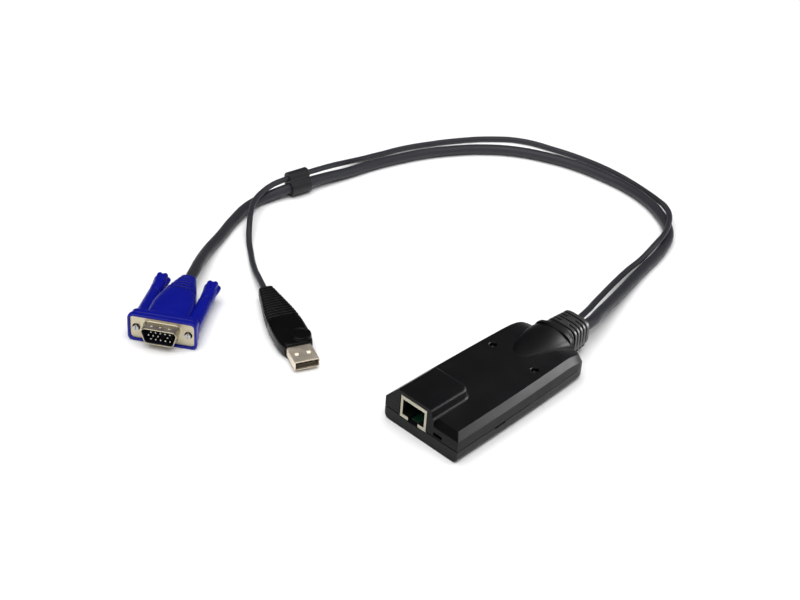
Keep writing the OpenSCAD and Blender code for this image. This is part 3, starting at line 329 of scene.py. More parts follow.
def plug_frame(origin, front):
    """Matrix of a plug's own frame from its middle and the way its front looks."""
    y_axis = -Vector(front).normalized()
    x_axis = y_axis.cross(Vector((0, 0, 1)))
    return Matrix.Translation(origin) @ Matrix((x_axis, y_axis, Vector((0, 0, 1)))).transposed().to_4x4()


screw_left, screw_right = (Vector(joints[f"{side}_screw_turn"]["pos_m"]) for side in ("left", "right"))
VIDEO = plug_frame((screw_left + screw_right) / 2, joints["left_screw_turn"]["axis"])
BUS = plug_frame(Vector(bus_mount["pos_m"]), bus_mount["axis"])
SCREW_X = (screw_right - screw_left).length / 2 / MM
for label, plug in (("video", VIDEO), ("bus", BUS)):
    print(label, "plug at", [round(c / MM, 1) for c in plug.translation])

# %% [markdown]
# ## Shared effects for the finishes
# Moulded plastic is never one flat value. A fine grain breaks up the highlight, broad smudges from
# handling change the gloss, and edges are a little rounder and lighter than faces, part wear and part
# painted highlight. Each effect is a node group with named inputs, built once and placed in every
# material with its own values.

# %% Helpers for node trees
def new_tree(name, inputs, outputs, kind="Shader"):
    """New tree. A number among inputs is a default, and a word is a kind of socket."""
    tree = bpy.data.node_groups.new(name, kind + "NodeTree")
    for in_out, sockets in (("INPUT", inputs), ("OUTPUT", outputs)):
        for label, value in sockets.items():
            word = value if isinstance(value, str) else type(value).__name__.capitalize()
            socket = tree.interface.new_socket(name=label, in_out=in_out, socket_type=f"NodeSocket{word}")
            if word != value:
                socket.default_value = value
    return tree, tree.nodes.new("NodeGroupInput").outputs, tree.nodes.new("NodeGroupOutput").inputs


def wire(tree, socket, value):
    """Link a socket to another one, or set it to a plain value."""
    if isinstance(value, bpy.types.NodeSocket):
        tree.links.new(value, socket)
    else:
        socket.default_value = value


def add_node(tree, kind, settings=None, **values):
    """Outputs of a new node, with its properties set and its inputs filled or linked by name."""
    node = tree.nodes.new(tree.bl_idname.replace("Tree", kind))
    for key, value in (settings or {}).items():
        setattr(node, key, value)
    for key, value in values.items():
        name = key.replace("_", " ").lower()
        wire(tree, next(s for s in node.inputs if s.enabled and s.name.lower() == name), value)
    return node.outputs


def operate(tree, kind, operation, *values):
    """Outputs of a new node for one operation on values or sockets."""
    node = tree.nodes.new("ShaderNode" + kind)
    node.operation = operation
    for socket, value in zip(node.inputs, values):
        wire(tree, socket, value)
    return node.outputs


def calculate(tree, operation, *values):
    """Result of a math node."""
    return operate(tree, "Math", operation, *values)[0]


# %% Group: fine grain of a moulding
def make_grain_group():
    """Height of a fine spark-eroded grain, for a Bump node."""
    tree, given, result = new_tree("moulded grain", {"Size": 0.0003, "Softness": 0.5}, {"Height": "Float"})
    place = add_node(tree, "TexCoord")["Object"]
    scale = calculate(tree, "DIVIDE", 1.0, given["Size"])
    noise = add_node(tree, "TexNoise", Vector=place, Scale=scale, Detail=2.0, Roughness=given["Softness"])
    coarser = calculate(tree, "MULTIPLY", scale, 0.7)
    cells = add_node(tree, "TexVoronoi", {"feature": "SMOOTH_F1"}, Vector=place, Scale=coarser)
    pits = calculate(tree, "MULTIPLY", cells["Distance"], 0.6)
    wire(tree, result["Height"], calculate(tree, "ADD", noise["Fac"], pits))
    return tree


# %% Group: softened edges, with a mask for edge wear and painted edge highlight
def make_edge_group():
    """Normal rounded over edges, and a mask that is 1 along them and 0 on faces."""
    tree, given, result = new_tree("softened edges", {"Radius": 0.0003, "Contrast": 3.0},
                                   {"Normal": "Vector", "Edge": "Float"})
    rounded = add_node(tree, "Bevel", {"samples": 6}, Radius=given["Radius"])["Normal"]
    plain = add_node(tree, "NewGeometry")["Normal"]
    likeness = operate(tree, "VectorMath", "DOT_PRODUCT", rounded, plain)["Value"]
    turned_by = calculate(tree, "SUBTRACT", 1.0, likeness)
    mask = add_node(tree, "Clamp", Value=calculate(tree, "MULTIPLY", turned_by, given["Contrast"]))
    wire(tree, result["Normal"], rounded)
    wire(tree, result["Edge"], mask["Result"])
    return tree


# %% Group: smudges and dust from handling
def make_handling_group():
    """Broad smudges and sparse specks, each as a mask from 0 to 1."""
    tree, given, result = new_tree("handling marks", {"Size": 0.012, "Dust": 0.3},
                                   {"Smudge": "Float", "Speck": "Float"})
    place = add_node(tree, "TexCoord")["Object"]
    scale = calculate(tree, "DIVIDE", 1.0, given["Size"])
    finer = calculate(tree, "MULTIPLY", scale, 22.0)
    smudge = add_node(tree, "TexNoise", Vector=place, Scale=scale, Detail=4.0, Distortion=0.6)
    specks = add_node(tree, "TexNoise", Vector=place, Scale=finer, Detail=1.0)
    shaped = add_node(tree, "MapRange", Value=smudge["Fac"], From_Min=0.35, From_Max=0.7)
    sparse = add_node(tree, "MapRange", Value=specks["Fac"], From_Min=0.69, From_Max=0.76)
    wire(tree, result["Smudge"], shaped["Result"])
    wire(tree, result["Speck"], calculate(tree, "MULTIPLY", sparse["Result"], given["Dust"]))
    return tree


# %% Group: colour that drifts a little
def make_drift_group():
    """Slow drift between 0 and 1 over a moulding, with a faint flow direction."""
    tree, given, result = new_tree("slow drift", {"Size": 0.03, "Stretch": 1.0}, {"Drift": "Float"})
    stretch = add_node(tree, "CombineXYZ", X=1.0, Y=given["Stretch"], Z=1.0)["Vector"]
    place = add_node(tree, "TexCoord")["Object"]
    flow = operate(tree, "VectorMath", "MULTIPLY", place, stretch)["Vector"]
    scale = calculate(tree, "DIVIDE", 1.0, given["Size"])
    noise = add_node(tree, "TexNoise", Vector=flow, Scale=scale, Detail=3.0)
    wire(tree, result["Drift"], noise["Fac"])
    return tree


GRAIN, EDGES = make_grain_group(), make_edge_group()
HANDLING, DRIFT = make_handling_group(), make_drift_group()
print("node groups:", [group.name for group in bpy.data.node_groups])

# %% [markdown]
# ## One way to put a finish together
# All finishes of this object share a recipe: a base colour that drifts towards a second one, lighter
# edges that are part wear and part painted highlight, a few specks, a roughness that the smudges
# change, and a bump from the grain on top of the softened edges. The recipe takes the values, and each
# finish below gives its own.

# %% Recipe for a finish
LOOKS = {}
DUST_COLOUR = (0.45, 0.44, 0.42, 1)


def finish(name, colour, second, roughness, spread=0.08, edge=0.0, rim=None, radius=0.25, grain=0.2,
           depth=0.004, smudge=12, dust=0.0, drift=30, stretch=1.0, specular=0.5, **sockets):
    """Material from the shared groups. Edges tend to the rim colour, a painted highlight mixed with wear. Lengths
    are in millimetres.
    """
    material = LOOKS[name] = bpy.data.materials.new(name)
    material.use_nodes = True
    tree = material.node_tree

    def shared(group, **values):
        return add_node(tree, "Group", {"node_tree": group}, **values)

    def blend(factor, first, other):
        return add_node(tree, "Mix", {"data_type": "RGBA"}, Factor=factor, A=first, B=other)["Result"]

    edges = shared(EDGES, Radius=radius * MM)
    marks = shared(HANDLING, Size=smudge * MM, Dust=dust)
    drifting = shared(DRIFT, Size=drift * MM, Stretch=stretch)["Drift"]
    lighter = rim or tuple(min(1, c * 1.8 + 0.02) for c in colour)
    base = blend(drifting, (*colour, 1), (*second, 1))
    # Edges lean to the lighter rim colour: part wear, part painted highlight.
    worn_and_highlit = blend(calculate(tree, "MULTIPLY", edges["Edge"], edge), base, (*lighter, 1))
    gloss = add_node(tree, "MapRange", Value=marks["Smudge"],
                     To_Min=roughness - spread / 2, To_Max=roughness + spread / 2)
    bump = add_node(tree, "Bump", Height=shared(GRAIN, Size=grain * MM)["Height"],
                    Distance=depth * MM, Normal=edges["Normal"])
    filled = {"Base Color": blend(marks["Speck"], worn_and_highlit, DUST_COLOUR), "Roughness": gloss["Result"],
              "Normal": bump["Normal"], "Specular IOR Level": specular, **sockets}
    for label, value in filled.items():
        wire(tree, tree.nodes["Principled BSDF"].inputs[label.replace("_", " ")], value)


def dress(piece, look):
    """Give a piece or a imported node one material."""
    piece.data.materials.clear()
    piece.data.materials.append(LOOKS[look])
    return piece


def register(piece, look, node, angle=None, plug=None, body="root"):
    """Smooth, move and dress a piece, hang it on the body that carries it, and hide the solid it stands in for."""
    if angle:
        smooth_faces(piece, angle)
    if plug:
        move_mesh(piece, plug)
    dress(piece, look)
    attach(piece, body)
    if node:
        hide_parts(node)
    if piece.type == "MESH":
        print(piece.name, "faces:", len(piece.data.polygons))


def second_finish(piece, look, is_second, plug=Matrix()):
    """Another material where a face's middle, in millimetres in a plug's frame, passes a test."""
    piece.data.materials.append(LOOKS[look])
    back = plug.inverted()
    for face in piece.data.polygons:
        if is_second(*(back @ face.center / MM)):
            face.material_index = 1


# %% [markdown]
# ## Finishes of the case
# The two shells are satin black polymer from the same tool, the lower one a touch greyer. The boot
# and the cable jackets are softer and greyer still, with a finer grain.

# %% Case, boot and cable finishes
finish("case_black", (0.0016, 0.0016, 0.002), (0.0024, 0.0024, 0.0028), 0.4, edge=0.5,
       rim=(0.03, 0.031, 0.034), grain=0.16, depth=0.0035, dust=0.005, specular=0.115)
finish("case_lower_black", (0.0055, 0.0057, 0.0062), (0.0075, 0.0077, 0.0082), 0.42, spread=0.06, edge=0.4,
       rim=(0.03, 0.031, 0.034), grain=0.18, dust=0.015, specular=0.16)
finish("boot_grey", (0.02, 0.02, 0.021), (0.028, 0.028, 0.029), 0.42, spread=0.1, edge=0.5,
       rim=(0.07, 0.072, 0.076), radius=0.2, grain=0.22, depth=0.005, dust=0.06, specular=0.4)
# Near black for the groove floors of the boot: painted shade in the grooves.
finish("boot_groove_painted_shade", (0.002, 0.002, 0.0022), (0.003, 0.003, 0.0032), 0.6, specular=0.1)
finish("cable_jacket", (0.03, 0.031, 0.037), (0.042, 0.043, 0.05), 0.46, spread=0.12, grain=0.35,
       depth=0.006, smudge=9, drift=14, dust=0.03, specular=0.3)
finish("collar_grey", (0.016, 0.016, 0.018), (0.023, 0.023, 0.025), 0.45, spread=0.1, edge=0.4,
       radius=0.3, dust=0.03, specular=0.3)

# %% [markdown]
# ## Finishes of the plugs
# The video plug's hood is royal blue vinyl, glossier on its dome. Its plate is steel with a warm
# yellowish passivation, and the pins are plated a paler gold. The bus plug has a smooth black grip
# and a warm silver shell.

# %% Plug finishes
finish("hood_blue", (0.0032, 0.0068, 0.27), (0.0046, 0.0094, 0.34), 0.34, spread=0.1, edge=0.35,
       rim=(0.02, 0.03, 0.34), radius=0.3, grain=0.25, smudge=8, dust=0.03, specular=0.24)
# Darker blue for the hood's recesses: painted shade in the grooves and the shadow line.
finish("hood_groove_painted_shade", (0.002, 0.003, 0.05), (0.0028, 0.004, 0.064), 0.5, specular=0.1)
finish("knob_blue", (0.0034, 0.006, 0.29), (0.0048, 0.0086, 0.36), 0.32, spread=0.1, edge=0.35,
       rim=(0.018, 0.027, 0.3), depth=0.003, smudge=6, dust=0.03, specular=0.3)
finish("plate_metal", (0.55, 0.485, 0.345), (0.63, 0.57, 0.425), 0.42, spread=0.14, edge=0.5,
       rim=(0.8, 0.76, 0.66), radius=0.12, grain=0.5, smudge=5, drift=9, Metallic=1)
finish("bus_shell_metal", (0.84, 0.74, 0.6), (0.92, 0.83, 0.7), 0.52, spread=0.12, edge=0.6,
       rim=(0.9, 0.88, 0.84), radius=0.1, grain=0.4, smudge=6, drift=12, stretch=0.2, Metallic=1)
finish("pin_metal", (0.62, 0.6, 0.54), (0.68, 0.66, 0.6), 0.22, depth=0.001, Metallic=1)
finish("screw_steel", (0.42, 0.42, 0.42), (0.54, 0.54, 0.54), 0.3, spread=0.1, edge=0.5,
       rim=(0.8, 0.79, 0.77), radius=0.12, grain=0.25, depth=0.003, Metallic=1)
finish("insert_dark", (0.004, 0.004, 0.01), (0.006, 0.006, 0.016), 0.5, edge=0.5, rim=(0.02, 0.022, 0.05),
       radius=0.1, grain=0.15, depth=0.003, specular=0.3)
finish("grip_black", (0.0028, 0.0029, 0.0028), (0.004, 0.0041, 0.004), 0.3, spread=0.12, edge=0.5,
       rim=(0.03, 0.031, 0.032), radius=0.3, depth=0.0025, smudge=9, dust=0.01, specular=0.16)
# Lighter black for the crests of the grip's ribs: a painted highlight.
finish("grip_rib_painted_highlight", (0.0065, 0.0067, 0.0066), (0.0085, 0.0087, 0.0086), 0.3, spread=0.12, edge=0.7,
       rim=(0.05, 0.051, 0.052), depth=0.0025, dust=0.03, specular=0.3)
finish("tongue_white", (0.72, 0.72, 0.68), (0.78, 0.78, 0.74), 0.5, edge=0.2)
# Dark brown for the front of the tongue: painted shade inside the mouth of the shell.
finish("tongue_painted_mouth_shade", (0.03, 0.018, 0.007), (0.042, 0.026, 0.01), 0.5, edge=0.2, rim=(0.09, 0.06, 0.025))

# %% [markdown]
# ## Finishes of the jack and of the parts inside
# The jack is ivory nylon with gold springs. The closed case hides the board, but a part that is
# opened shows it, so its mask, chips, cans and wires each get a finish too.

# %% Jack and board finishes
finish("jack_ivory", (0.5, 0.47, 0.36), (0.56, 0.53, 0.42), 0.42, spread=0.1, edge=0.5,
       rim=(0.8, 0.78, 0.68), radius=0.15, grain=0.25, Subsurface_Weight=0.05, Subsurface_Scale=0.001)
finish("jack_inside", (0.004, 0.005, 0.005), (0.006, 0.009, 0.008), 0.4, edge=0.2, rim=(0.02, 0.03, 0.028),
       specular=0.25)
finish("contact_gold", (0.82, 0.62, 0.26), (0.88, 0.7, 0.34), 0.22, depth=0.001, Metallic=1)
finish("board_green", (0.005, 0.032, 0.016), (0.008, 0.046, 0.024), 0.35, edge=0.6, rim=(0.35, 0.33, 0.2),
       radius=0.2, grain=0.6, depth=0.006)
finish("chip_black", (0.012, 0.012, 0.013), (0.018, 0.018, 0.019), 0.55, edge=0.3, grain=0.1)
finish("can_metal", (0.66, 0.67, 0.69), (0.74, 0.75, 0.77), 0.3, edge=0.4, grain=0.3, depth=0.002,
       Metallic=1)
finish("lamp_lens", (0.005, 0.01, 0.006), (0.007, 0.014, 0.008), 0.3, grain=0.4, depth=0.001, specular=0.3)
finish("header_nylon", (0.66, 0.63, 0.54), (0.72, 0.69, 0.6), 0.5, edge=0.3)
finish("lead_red", (0.4, 0.03, 0.025), (0.46, 0.045, 0.035), 0.4)
finish("lead_green", (0.03, 0.2, 0.05), (0.04, 0.25, 0.07), 0.4)

for look, nodes in {
    "board_green": ["circuit_board"], "chip_black": ["main_controller", "line_driver"],
    "can_metal": ["crystal", "capacitors"], "lamp_lens": ["status_leds"],
    "header_nylon": ["vga_header", "usb_header"], "lead_red": ["vga_leads"], "lead_green": ["usb_leads"],
}.items():
    for node in nodes:
        dress(NODES[node], look)
print("finishes:", len(LOOKS))

# %% [markdown]
# ## The two shells of the case
# The shells are thin walls with a fairing, a raised block and a neck, all of which the solids already
# have in full. A copy of each is merged and shaded smooth up to an angle, so that the fairing and the
# fillets flow while the flat panel stays flat. Cutters chamfer the rims of the lamp holes and open
# the seam between the halves to a shadow line.

# %% Upper and lower shell
LAMP_X, LAMP_Y, LAMP_R, LAMP_RIM, PANEL_Z = 12.6, 7.45, 1.65, 0.45, 15.0
SEAM_LOW, SEAM_HIGH, SEAM_DEPTH, OVERRUN = 6.2, 6.75, 0.5, 10
FRONT_Y, REAR_Y, FRONT_HALF, REAR_HALF, CORNER = -53.15, 37.25, 21.7, 19.7, 7
SHELL_ANGLE = 30

case_top, case_bottom = [smooth_faces(copy_of_node(f"{half}_shell", f"case_{half}"), SHELL_ANGLE)
                         for half in ("top", "bottom")]
rims = [skin("lamp_rim", [at_height(circle(radius, at=(side * LAMP_X, LAMP_Y)), PANEL_Z + z)
                          for radius, z in ((LAMP_R, -LAMP_RIM), (LAMP_R + LAMP_RIM + 0.1, 0.1))])
        for side in SIDES]
combine(case_top, rims, "DIFFERENCE")
side_y, side_end = REAR_Y - CORNER, REAR_HALF + (FRONT_HALF - REAR_HALF) * CORNER / (REAR_Y - FRONT_Y)
strips = [[(side * (FRONT_HALF - SEAM_DEPTH), FRONT_Y - 1), (side * (FRONT_HALF + OVERRUN), FRONT_Y - 1),
           (side * (FRONT_HALF + OVERRUN), side_y), (side * (side_end - SEAM_DEPTH), side_y)][::side]
          for side in SIDES]
strips.append([(-FRONT_HALF - 1, FRONT_Y - OVERRUN), (FRONT_HALF + 1, FRONT_Y - OVERRUN),
               (FRONT_HALF + 1, FRONT_Y + SEAM_DEPTH), (-FRONT_HALF - 1, FRONT_Y + SEAM_DEPTH)])
for shell in (case_top, case_bottom):
    combine(shell, [prism("seam_strip", strip, SEAM_LOW, SEAM_HIGH) for strip in strips], "DIFFERENCE")
register(case_top, "case_black", "top_shell", SHELL_ANGLE)
register(case_bottom, "case_lower_black", "bottom_shell", SHELL_ANGLE)

# %% [markdown]
# ## A tree that sets copies on a spine
# Ribs on the boot, on the blue hood and on the grip are all the same idea: one rounded slab, repeated
# along a line and stretched to the section there. The spine is a mesh of loose points that carry the
# size of each copy, and the tree sets the copies on them. It also sets out springs, pins and lobes.

# %% Geometry Nodes: copies on a spine of points
def make_spine_tree():
    """Copies of one object on points, each scaled by the point's own size."""
    taken = {"Geometry": "Geometry", "Copy": "Object", "Material": "Material"}
    tree, given, result = new_tree("copies_on_spine", taken, {"Geometry": "Geometry"}, "Geometry")
    copy = add_node(tree, "ObjectInfo", Object=given["Copy"])["Geometry"]
    size = add_node(tree, "InputNamedAttribute", {"data_type": "FLOAT_VECTOR"}, Name="size")["Attribute"]
    points = add_node(tree, "MeshToPoints", Mesh=given["Geometry"])["Points"]
    copies = add_node(tree, "InstanceOnPoints", Points=points, Instance=copy, Scale=size)["Instances"]
    real = add_node(tree, "RealizeInstances", Geometry=copies)["Geometry"]
    shown = add_node(tree, "SetMaterial", Geometry=real, Material=given["Material"])["Geometry"]
    wire(tree, result["Geometry"], shown)
    return tree


SPINE_TREE = make_spine_tree()


def copies_at(name, copy, places, look, sizes=None):
    """Mesh of an object's copies at places in millimetres, each with its size. The object goes."""
    mesh = bpy.data.meshes.new(name)
    mesh.from_pydata([Vector(place) * MM for place in places], [], [])
    attribute = mesh.attributes.new("size", "FLOAT_VECTOR", "POINT")
    attribute.data.foreach_set("vector", [c for size in sizes or [(1, 1, 1)] * len(places) for c in size])
    piece = new_object(name, mesh)
    modifier = piece.modifiers.new("copies", "NODES")
    modifier.node_group = SPINE_TREE
    for item in SPINE_TREE.interface.items_tree:
        if item.name in ("Copy", "Material"):
            modifier[item.identifier] = copy if item.name == "Copy" else LOOKS[look]
    settle(piece)
    bpy.data.objects.remove(copy)
    return piece


def unit_rib(power, soft_edge=0.05, soft_depth=0.45):
    """Rounded slab of half size 1 in metres, with soft rims, to be stretched to a section."""
    near = [(-1 + soft_depth * (1 - cos(t)), 1 - soft_edge * (1 - sin(t))) for t in turns(0, 90, 4)]
    far = [(-y, grow) for y, grow in reversed(near)]
    outline = superellipse(1, 1, power, 96)
    return skin("rib", [[(x * grow / MM, y / MM, z * grow / MM) for x, z in outline]
                        for y, grow in near + far])


def row_of_ribs(name, power, ribs, look, **softness):
    """Ribs as one plain mesh, each with its place and its half sizes in millimetres."""
    return copies_at(name, unit_rib(power, **softness), [place for place, halves in ribs], look,
                     [[half * MM for half in halves] for place, halves in ribs])


def ribs_on(half_at, middles, half_t):
    """Places and half sizes of equally thick ribs on a moulding."""
    return [((0, y, 0), (half_at(y)[0], half_t, half_at(y)[1])) for y in middles]


# %% [markdown]
# ## The ribbed boot
# The boot is soft rubber: five ribs on a thinner core, held together by webs that leave the grooves
# open only part of the way round, so that it bends with the cables. Its stem and flange inside the
# case come from the solid. Core, ribs and webs are joined into one skin.

# %% Boot
BOOT_Y, BOOT_END, BOOT_POWER = 40.85, 53.15, 3.6
RIBS, GROOVE, GROOVE_DEPTH = 5, 0.8, 1.2
NECK_W, NECK_H, BOOT_END_W, BOOT_END_H = 17.7, 14.8, 16.2, 14.4
EXIT_Z, VIDEO_X, BUS_X, VIDEO_R, BUS_R = 10.0, 2.6, -2.6, 2.75, 1.5
CABLE_FIT, BOOT_ANGLE = 0.1, 38
rib_pitch = (BOOT_END - BOOT_Y) / (RIBS + 0.24)


def rib_half(k):
    """Half width and half height of a rib of the boot."""
    share = k / (RIBS - 1)
    return (NECK_W + (BOOT_END_W - NECK_W) * share) / 2, (NECK_H + (BOOT_END_H - NECK_H) * share) / 2


ribs, webs = [], []
for k in range(RIBS):
    half_w, half_h = rib_half(k)
    start = BOOT_Y + GROOVE + k * rib_pitch
    end = BOOT_Y + GROOVE + (k + 1) * rib_pitch - GROOVE if k < RIBS - 1 else BOOT_END
    ribs.append(((0, (start + end) / 2, EXIT_Z), (half_w, (end - start) / 2, half_h)))
    spots = [(side * (half_w - 2.3), EXIT_Z - half_h + 3.4, 2.0, 3.0) for side in SIDES]
    if k % 2 == 1:
        spots.append((0, EXIT_Z + half_h - 1.6, 2.5, 1.5))
    webs += [((x, start - GROOVE / 2, z), (w, GROOVE / 2 + 0.15, h)) for x, z, w, h in spots]
core_w, core_h = (half - GROOVE_DEPTH for half in rib_half(RIBS - 1))
boot = skin("boot", [[(x, y, z + EXIT_Z) for x, z in superellipse(core_w, core_h, 3.4, 96)]
                     for y in (BOOT_Y, BOOT_END - 0.6)])
boot_ribs = row_of_ribs("boot_ribs", BOOT_POWER, ribs, "boot_grey", soft_edge=0.045)
boot_webs = row_of_ribs("boot_webs", 4.5, webs, "boot_grey", soft_edge=0.02, soft_depth=0.1)
combine(boot, [boot_ribs, boot_webs], "UNION")
combine(boot, [bar("way", x, EXIT_Z, radius + CABLE_FIT, BOOT_Y - 20, BOOT_END + 5)
               for x, radius in ((VIDEO_X, VIDEO_R), (BUS_X, BUS_R))], "DIFFERENCE")
stem = copy_of_node("strain_relief", "boot_stem")
slice_mesh(stem.data, (0, (BOOT_Y + 0.1) * MM, 0), (0, 1, 0), keep_near=True)
register(boot, "boot_grey", "strain_relief", BOOT_ANGLE)
register(stem, "boot_grey", None, BOOT_ANGLE)
# Faces on the groove floors get the near-black finish: painted shade in the grooves.
second_finish(boot, "boot_groove_painted_shade", lambda x, y, z: BOOT_Y + 0.3 < y < BOOT_END - 0.7 and not outside(
    rib_half((y - BOOT_Y) / rib_pitch - 0.5), 0.75, x, z - EXIT_Z, BOOT_POWER))

# %% [markdown]
# ## The jack and its springs
# The jack is an open-fronted ivory box. The solid has its mouth, ledges and slots, so a merged copy
# keeps them and the finish softens the edges. Its eight springs are one bent wire, set in a row by
# the spine tree: each lies in the roof, turns over a soft bend at the lip and slopes back down.

# %% Jack and contacts
JACK_X, CONTACTS, CONTACT_PITCH = -5.125, 8, 1.02
CONTACT_LIP, CONTACT_BACK, CONTACT_Z, BEND_R, SLOPE = -49.45, -33.85, 15.95, 0.45, radians(27)
MOUTH_LOW, MOUTH_HIGH = (-11.62, -52.5, 5.8), (1.37, -38.8, 15.8)


def wire_along(name, path, half_w, half_t):
    """Flat wire with rounded corners along points in the y-z plane."""
    rings = []
    for i, (y, z) in enumerate(path):
        y0, z0 = path[max(i - 1, 0)]
        y1, z1 = path[min(i + 1, len(path) - 1)]
        length = hypot(y1 - y0, z1 - z0)
        rings.append([(a, y - (z1 - z0) / length * b, z + (y1 - y0) / length * b)
                      for a, b in rounded_rectangle(2 * half_w, 2 * half_t, half_t * 0.6, 2)])
    return skin(name, rings)


jack = copy_of_node("network_jack", "jack")
bend = [(CONTACT_LIP + BEND_R - BEND_R * sin(t), CONTACT_Z - BEND_R + BEND_R * cos(t))
        for t in turns(0, 144, 8)]
slope = [(bend[-1][0] + t * cos(SLOPE), bend[-1][1] - t * sin(SLOPE)) for t in (1.5, 3.5, 5.5, 7.0)]
post = [(CONTACT_BACK, z) for z in (3.75, 10, CONTACT_Z - 0.5)] + [(CONTACT_BACK - 0.5, CONTACT_Z)]
springs = copies_at("jack_springs", wire_along("wire", post + bend + slope, 0.2, 0.19),
                    [(JACK_X + (k - (CONTACTS - 1) / 2) * CONTACT_PITCH, 0, 0) for k in range(CONTACTS)],
                    "contact_gold")
register(jack, "jack_ivory", "network_jack", SHELL_ANGLE)
register(springs, "contact_gold", "jack_contacts", 50)
second_finish(jack, "jack_inside",
              lambda *place: all(low < c < high for low, c, high in zip(MOUTH_LOW, place, MOUTH_HIGH)))

# %% [markdown]
# ## The blue hood of the video plug
# The hood is one soft moulding: a bezel round the metal plate, a second flange behind a thin shadow
# line, a dome that narrows to the cable, and a tunnel for each screw. Smooth sections make the dome,
# the flanges are stacks of rounded outlines, and ribs from the spine tree close the cable end.

# %% Hood
PLATE_W, PLATE_H, PLATE_T, PLATE_R = 30.8, 12.5, 0.8, 1.8
RIM, BEZEL_OUT, BEZEL_T, SHADOW_LINE, BACK_T = 1.25, 0.8, 1.6, 0.5, 3.2
BEZEL_W, BEZEL_H, BEZEL_R = PLATE_W + 2 * RIM, PLATE_H + 2 * RIM, 2.6
HOOD_L, HOOD_START, DOME_W, DOME_H, DOME_POWER = 41.3, 5.2, 10.6, 6.9, 3.0
TUNNEL_R, TUNNEL_L = 3.4, 27.4
RIB_FIRST, RIB_STEP, RIB_COUNT, RIB_DEPTH = 27.4, 2.72, 5, 0.8
DOME = [[0, 0.98, 0.92], [0.12, 1, 0.98], [0.28, 1, 1], [0.4, 0.945, 0.995], [0.5, 0.865, 0.97],
        [0.6, 0.775, 0.925], [0.7, 0.675, 0.86], [0.8, 0.57, 0.775], [0.9, 0.465, 0.68],
        [0.97, 0.395, 0.60], [1, 0.36, 0.55]]


def dome_half(y):
    """Half width and half height of the dome at a depth."""
    return swell(DOME, (y - HOOD_START) / (HOOD_L - HOOD_START), (DOME_W, DOME_H))


def dome_less(y):
    """How far the core under the ribs lies below the dome."""
    return RIB_DEPTH * min(1, max(0, (y - RIB_FIRST) / 0.4)) + (0.35 if y == HOOD_L else 0)


dome_stops = [*np.linspace(HOOD_START - 0.4, RIB_FIRST, 30), *np.linspace(RIB_FIRST + 0.5, HOOD_L - 0.5, 18),
              HOOD_L - 0.15, HOOD_L]
hood = skin("hood", [section(dome_half, y, dome_less(y), DOME_POWER, 80) for y in dome_stops])
rib_middles = [RIB_FIRST + 0.9 + (k + 0.5) * RIB_STEP - 0.35 for k in range(RIB_COUNT)]
hood_ribs = ribs_on(dome_half, rib_middles, RIB_STEP / 2 - 0.45)
back_y = BEZEL_T + SHADOW_LINE
parts = [drawn(name, let_out(BEZEL_W - less, BEZEL_H - less, radius), soft_ends(y0, y1, soft))
         for name, less, radius, y0, y1, soft in (
             ("bezel", 0, BEZEL_R, -BEZEL_OUT, BEZEL_T, 0.35),
             ("shadow_line", 2, BEZEL_R, BEZEL_T - 0.2, back_y + 0.2, 0.1),
             ("back_flange", 1, BEZEL_R + 0.5, back_y, back_y + BACK_T, 0.6))]
parts.append(row_of_ribs("hood_ribs", DOME_POWER, hood_ribs, "hood_blue"))
tunnel = [(TUNNEL_R + grow, y) for grow, y in (
    (0.8, BEZEL_T), (0.75, 5.3), (0.6, 6.5), (0.42, 8.5), (0.3, 12), (0.15, 18), (0, TUNNEL_L - 0.5),
    (-0.15, TUNNEL_L - 0.15), (-0.5, TUNNEL_L))]
parts += [turned("tunnel", tunnel, 64, (side * SCREW_X, 0)) for side in SIDES]
combine(hood, parts, "UNION")

# %% Openings of the hood
D_TOP, D_BOTTOM, D_HEIGHT, D_LENGTH, D_WALL, D_ROUND = 17.2, 14.7, 8.6, 5.9, 0.4, 2.2
SCREW_WAY, SCREW_ROOM = 1.65, 1.9


def d_outline(grow):
    """Outline of the D shell let out by grow, wide side up."""
    lean = degrees(atan2((D_TOP - D_BOTTOM) / 2, D_HEIGHT))
    radius, z = D_ROUND + grow, D_HEIGHT / 2 - D_ROUND
    top, low = D_TOP / 2 - D_ROUND, D_BOTTOM / 2 - D_ROUND
    corners = ((top, z, -lean, 90), (-top, z, 90, 180 + lean), (-low, -z, 180 + lean, 270),
               (low, -z, 270, 360 - lean))
    return [(x + radius * cos(t), cz + radius * sin(t))
            for x, cz, first, last in corners for t in turns(first, last, 8)]


cutters = [drawn("plate_pocket", let_out(PLATE_W + 0.2, PLATE_H + 0.2, PLATE_R + 0.1),
                 [(0, -BEZEL_OUT - 1), (0, PLATE_T + 0.1)]),
           drawn("insert_room", d_outline, [(0.35, -1), (0.35, 12.7)]),
           bar("cable_way", 0, 0, VIDEO_R + CABLE_FIT, HOOD_L - 10, HOOD_L + 1)]
cutters += [bar("screw_way", side * SCREW_X, 0, radius, -1, end)
            for side in SIDES for radius, end in ((SCREW_WAY, HOOD_L), (SCREW_ROOM, BEZEL_T + BACK_T))]
combine(hood, cutters, "DIFFERENCE")
register(hood, "hood_blue", "vga_hood", 34, VIDEO)
# Groove floors between the cable-end ribs, the shadow line behind the bezel and the tunnels' rear ends get the
# darker blue: painted shade in these recesses.
second_finish(hood, "hood_groove_painted_shade", lambda x, y, z: RIB_FIRST - 0.1 < y < HOOD_L - 0.4
              and not outside(dome_half(y), 0.3, x, z, DOME_POWER)
              or -0.01 < y - BEZEL_T < SHADOW_LINE + 0.01 or y > TUNNEL_L - 0.2 and abs(x) > DOME_W, VIDEO)

# %% [markdown]
# ## The plate and its D shell
# The plate is a stamping: flat, with soft rims, and drawn forward into the D. A drawn root is a curve
# and not an edge, so the D's profile is swept with a quarter circle at its root and a rolled lip in
# front. Three small dimples on the wide side press on the mating shell.

# %% Plate, D shell and dimples
ROOT_R, LIP_R, DIMPLE_STEP, DIMPLE_R, DIMPLE_Y = 1.0, 0.22, 4.2, 0.8, -2.9

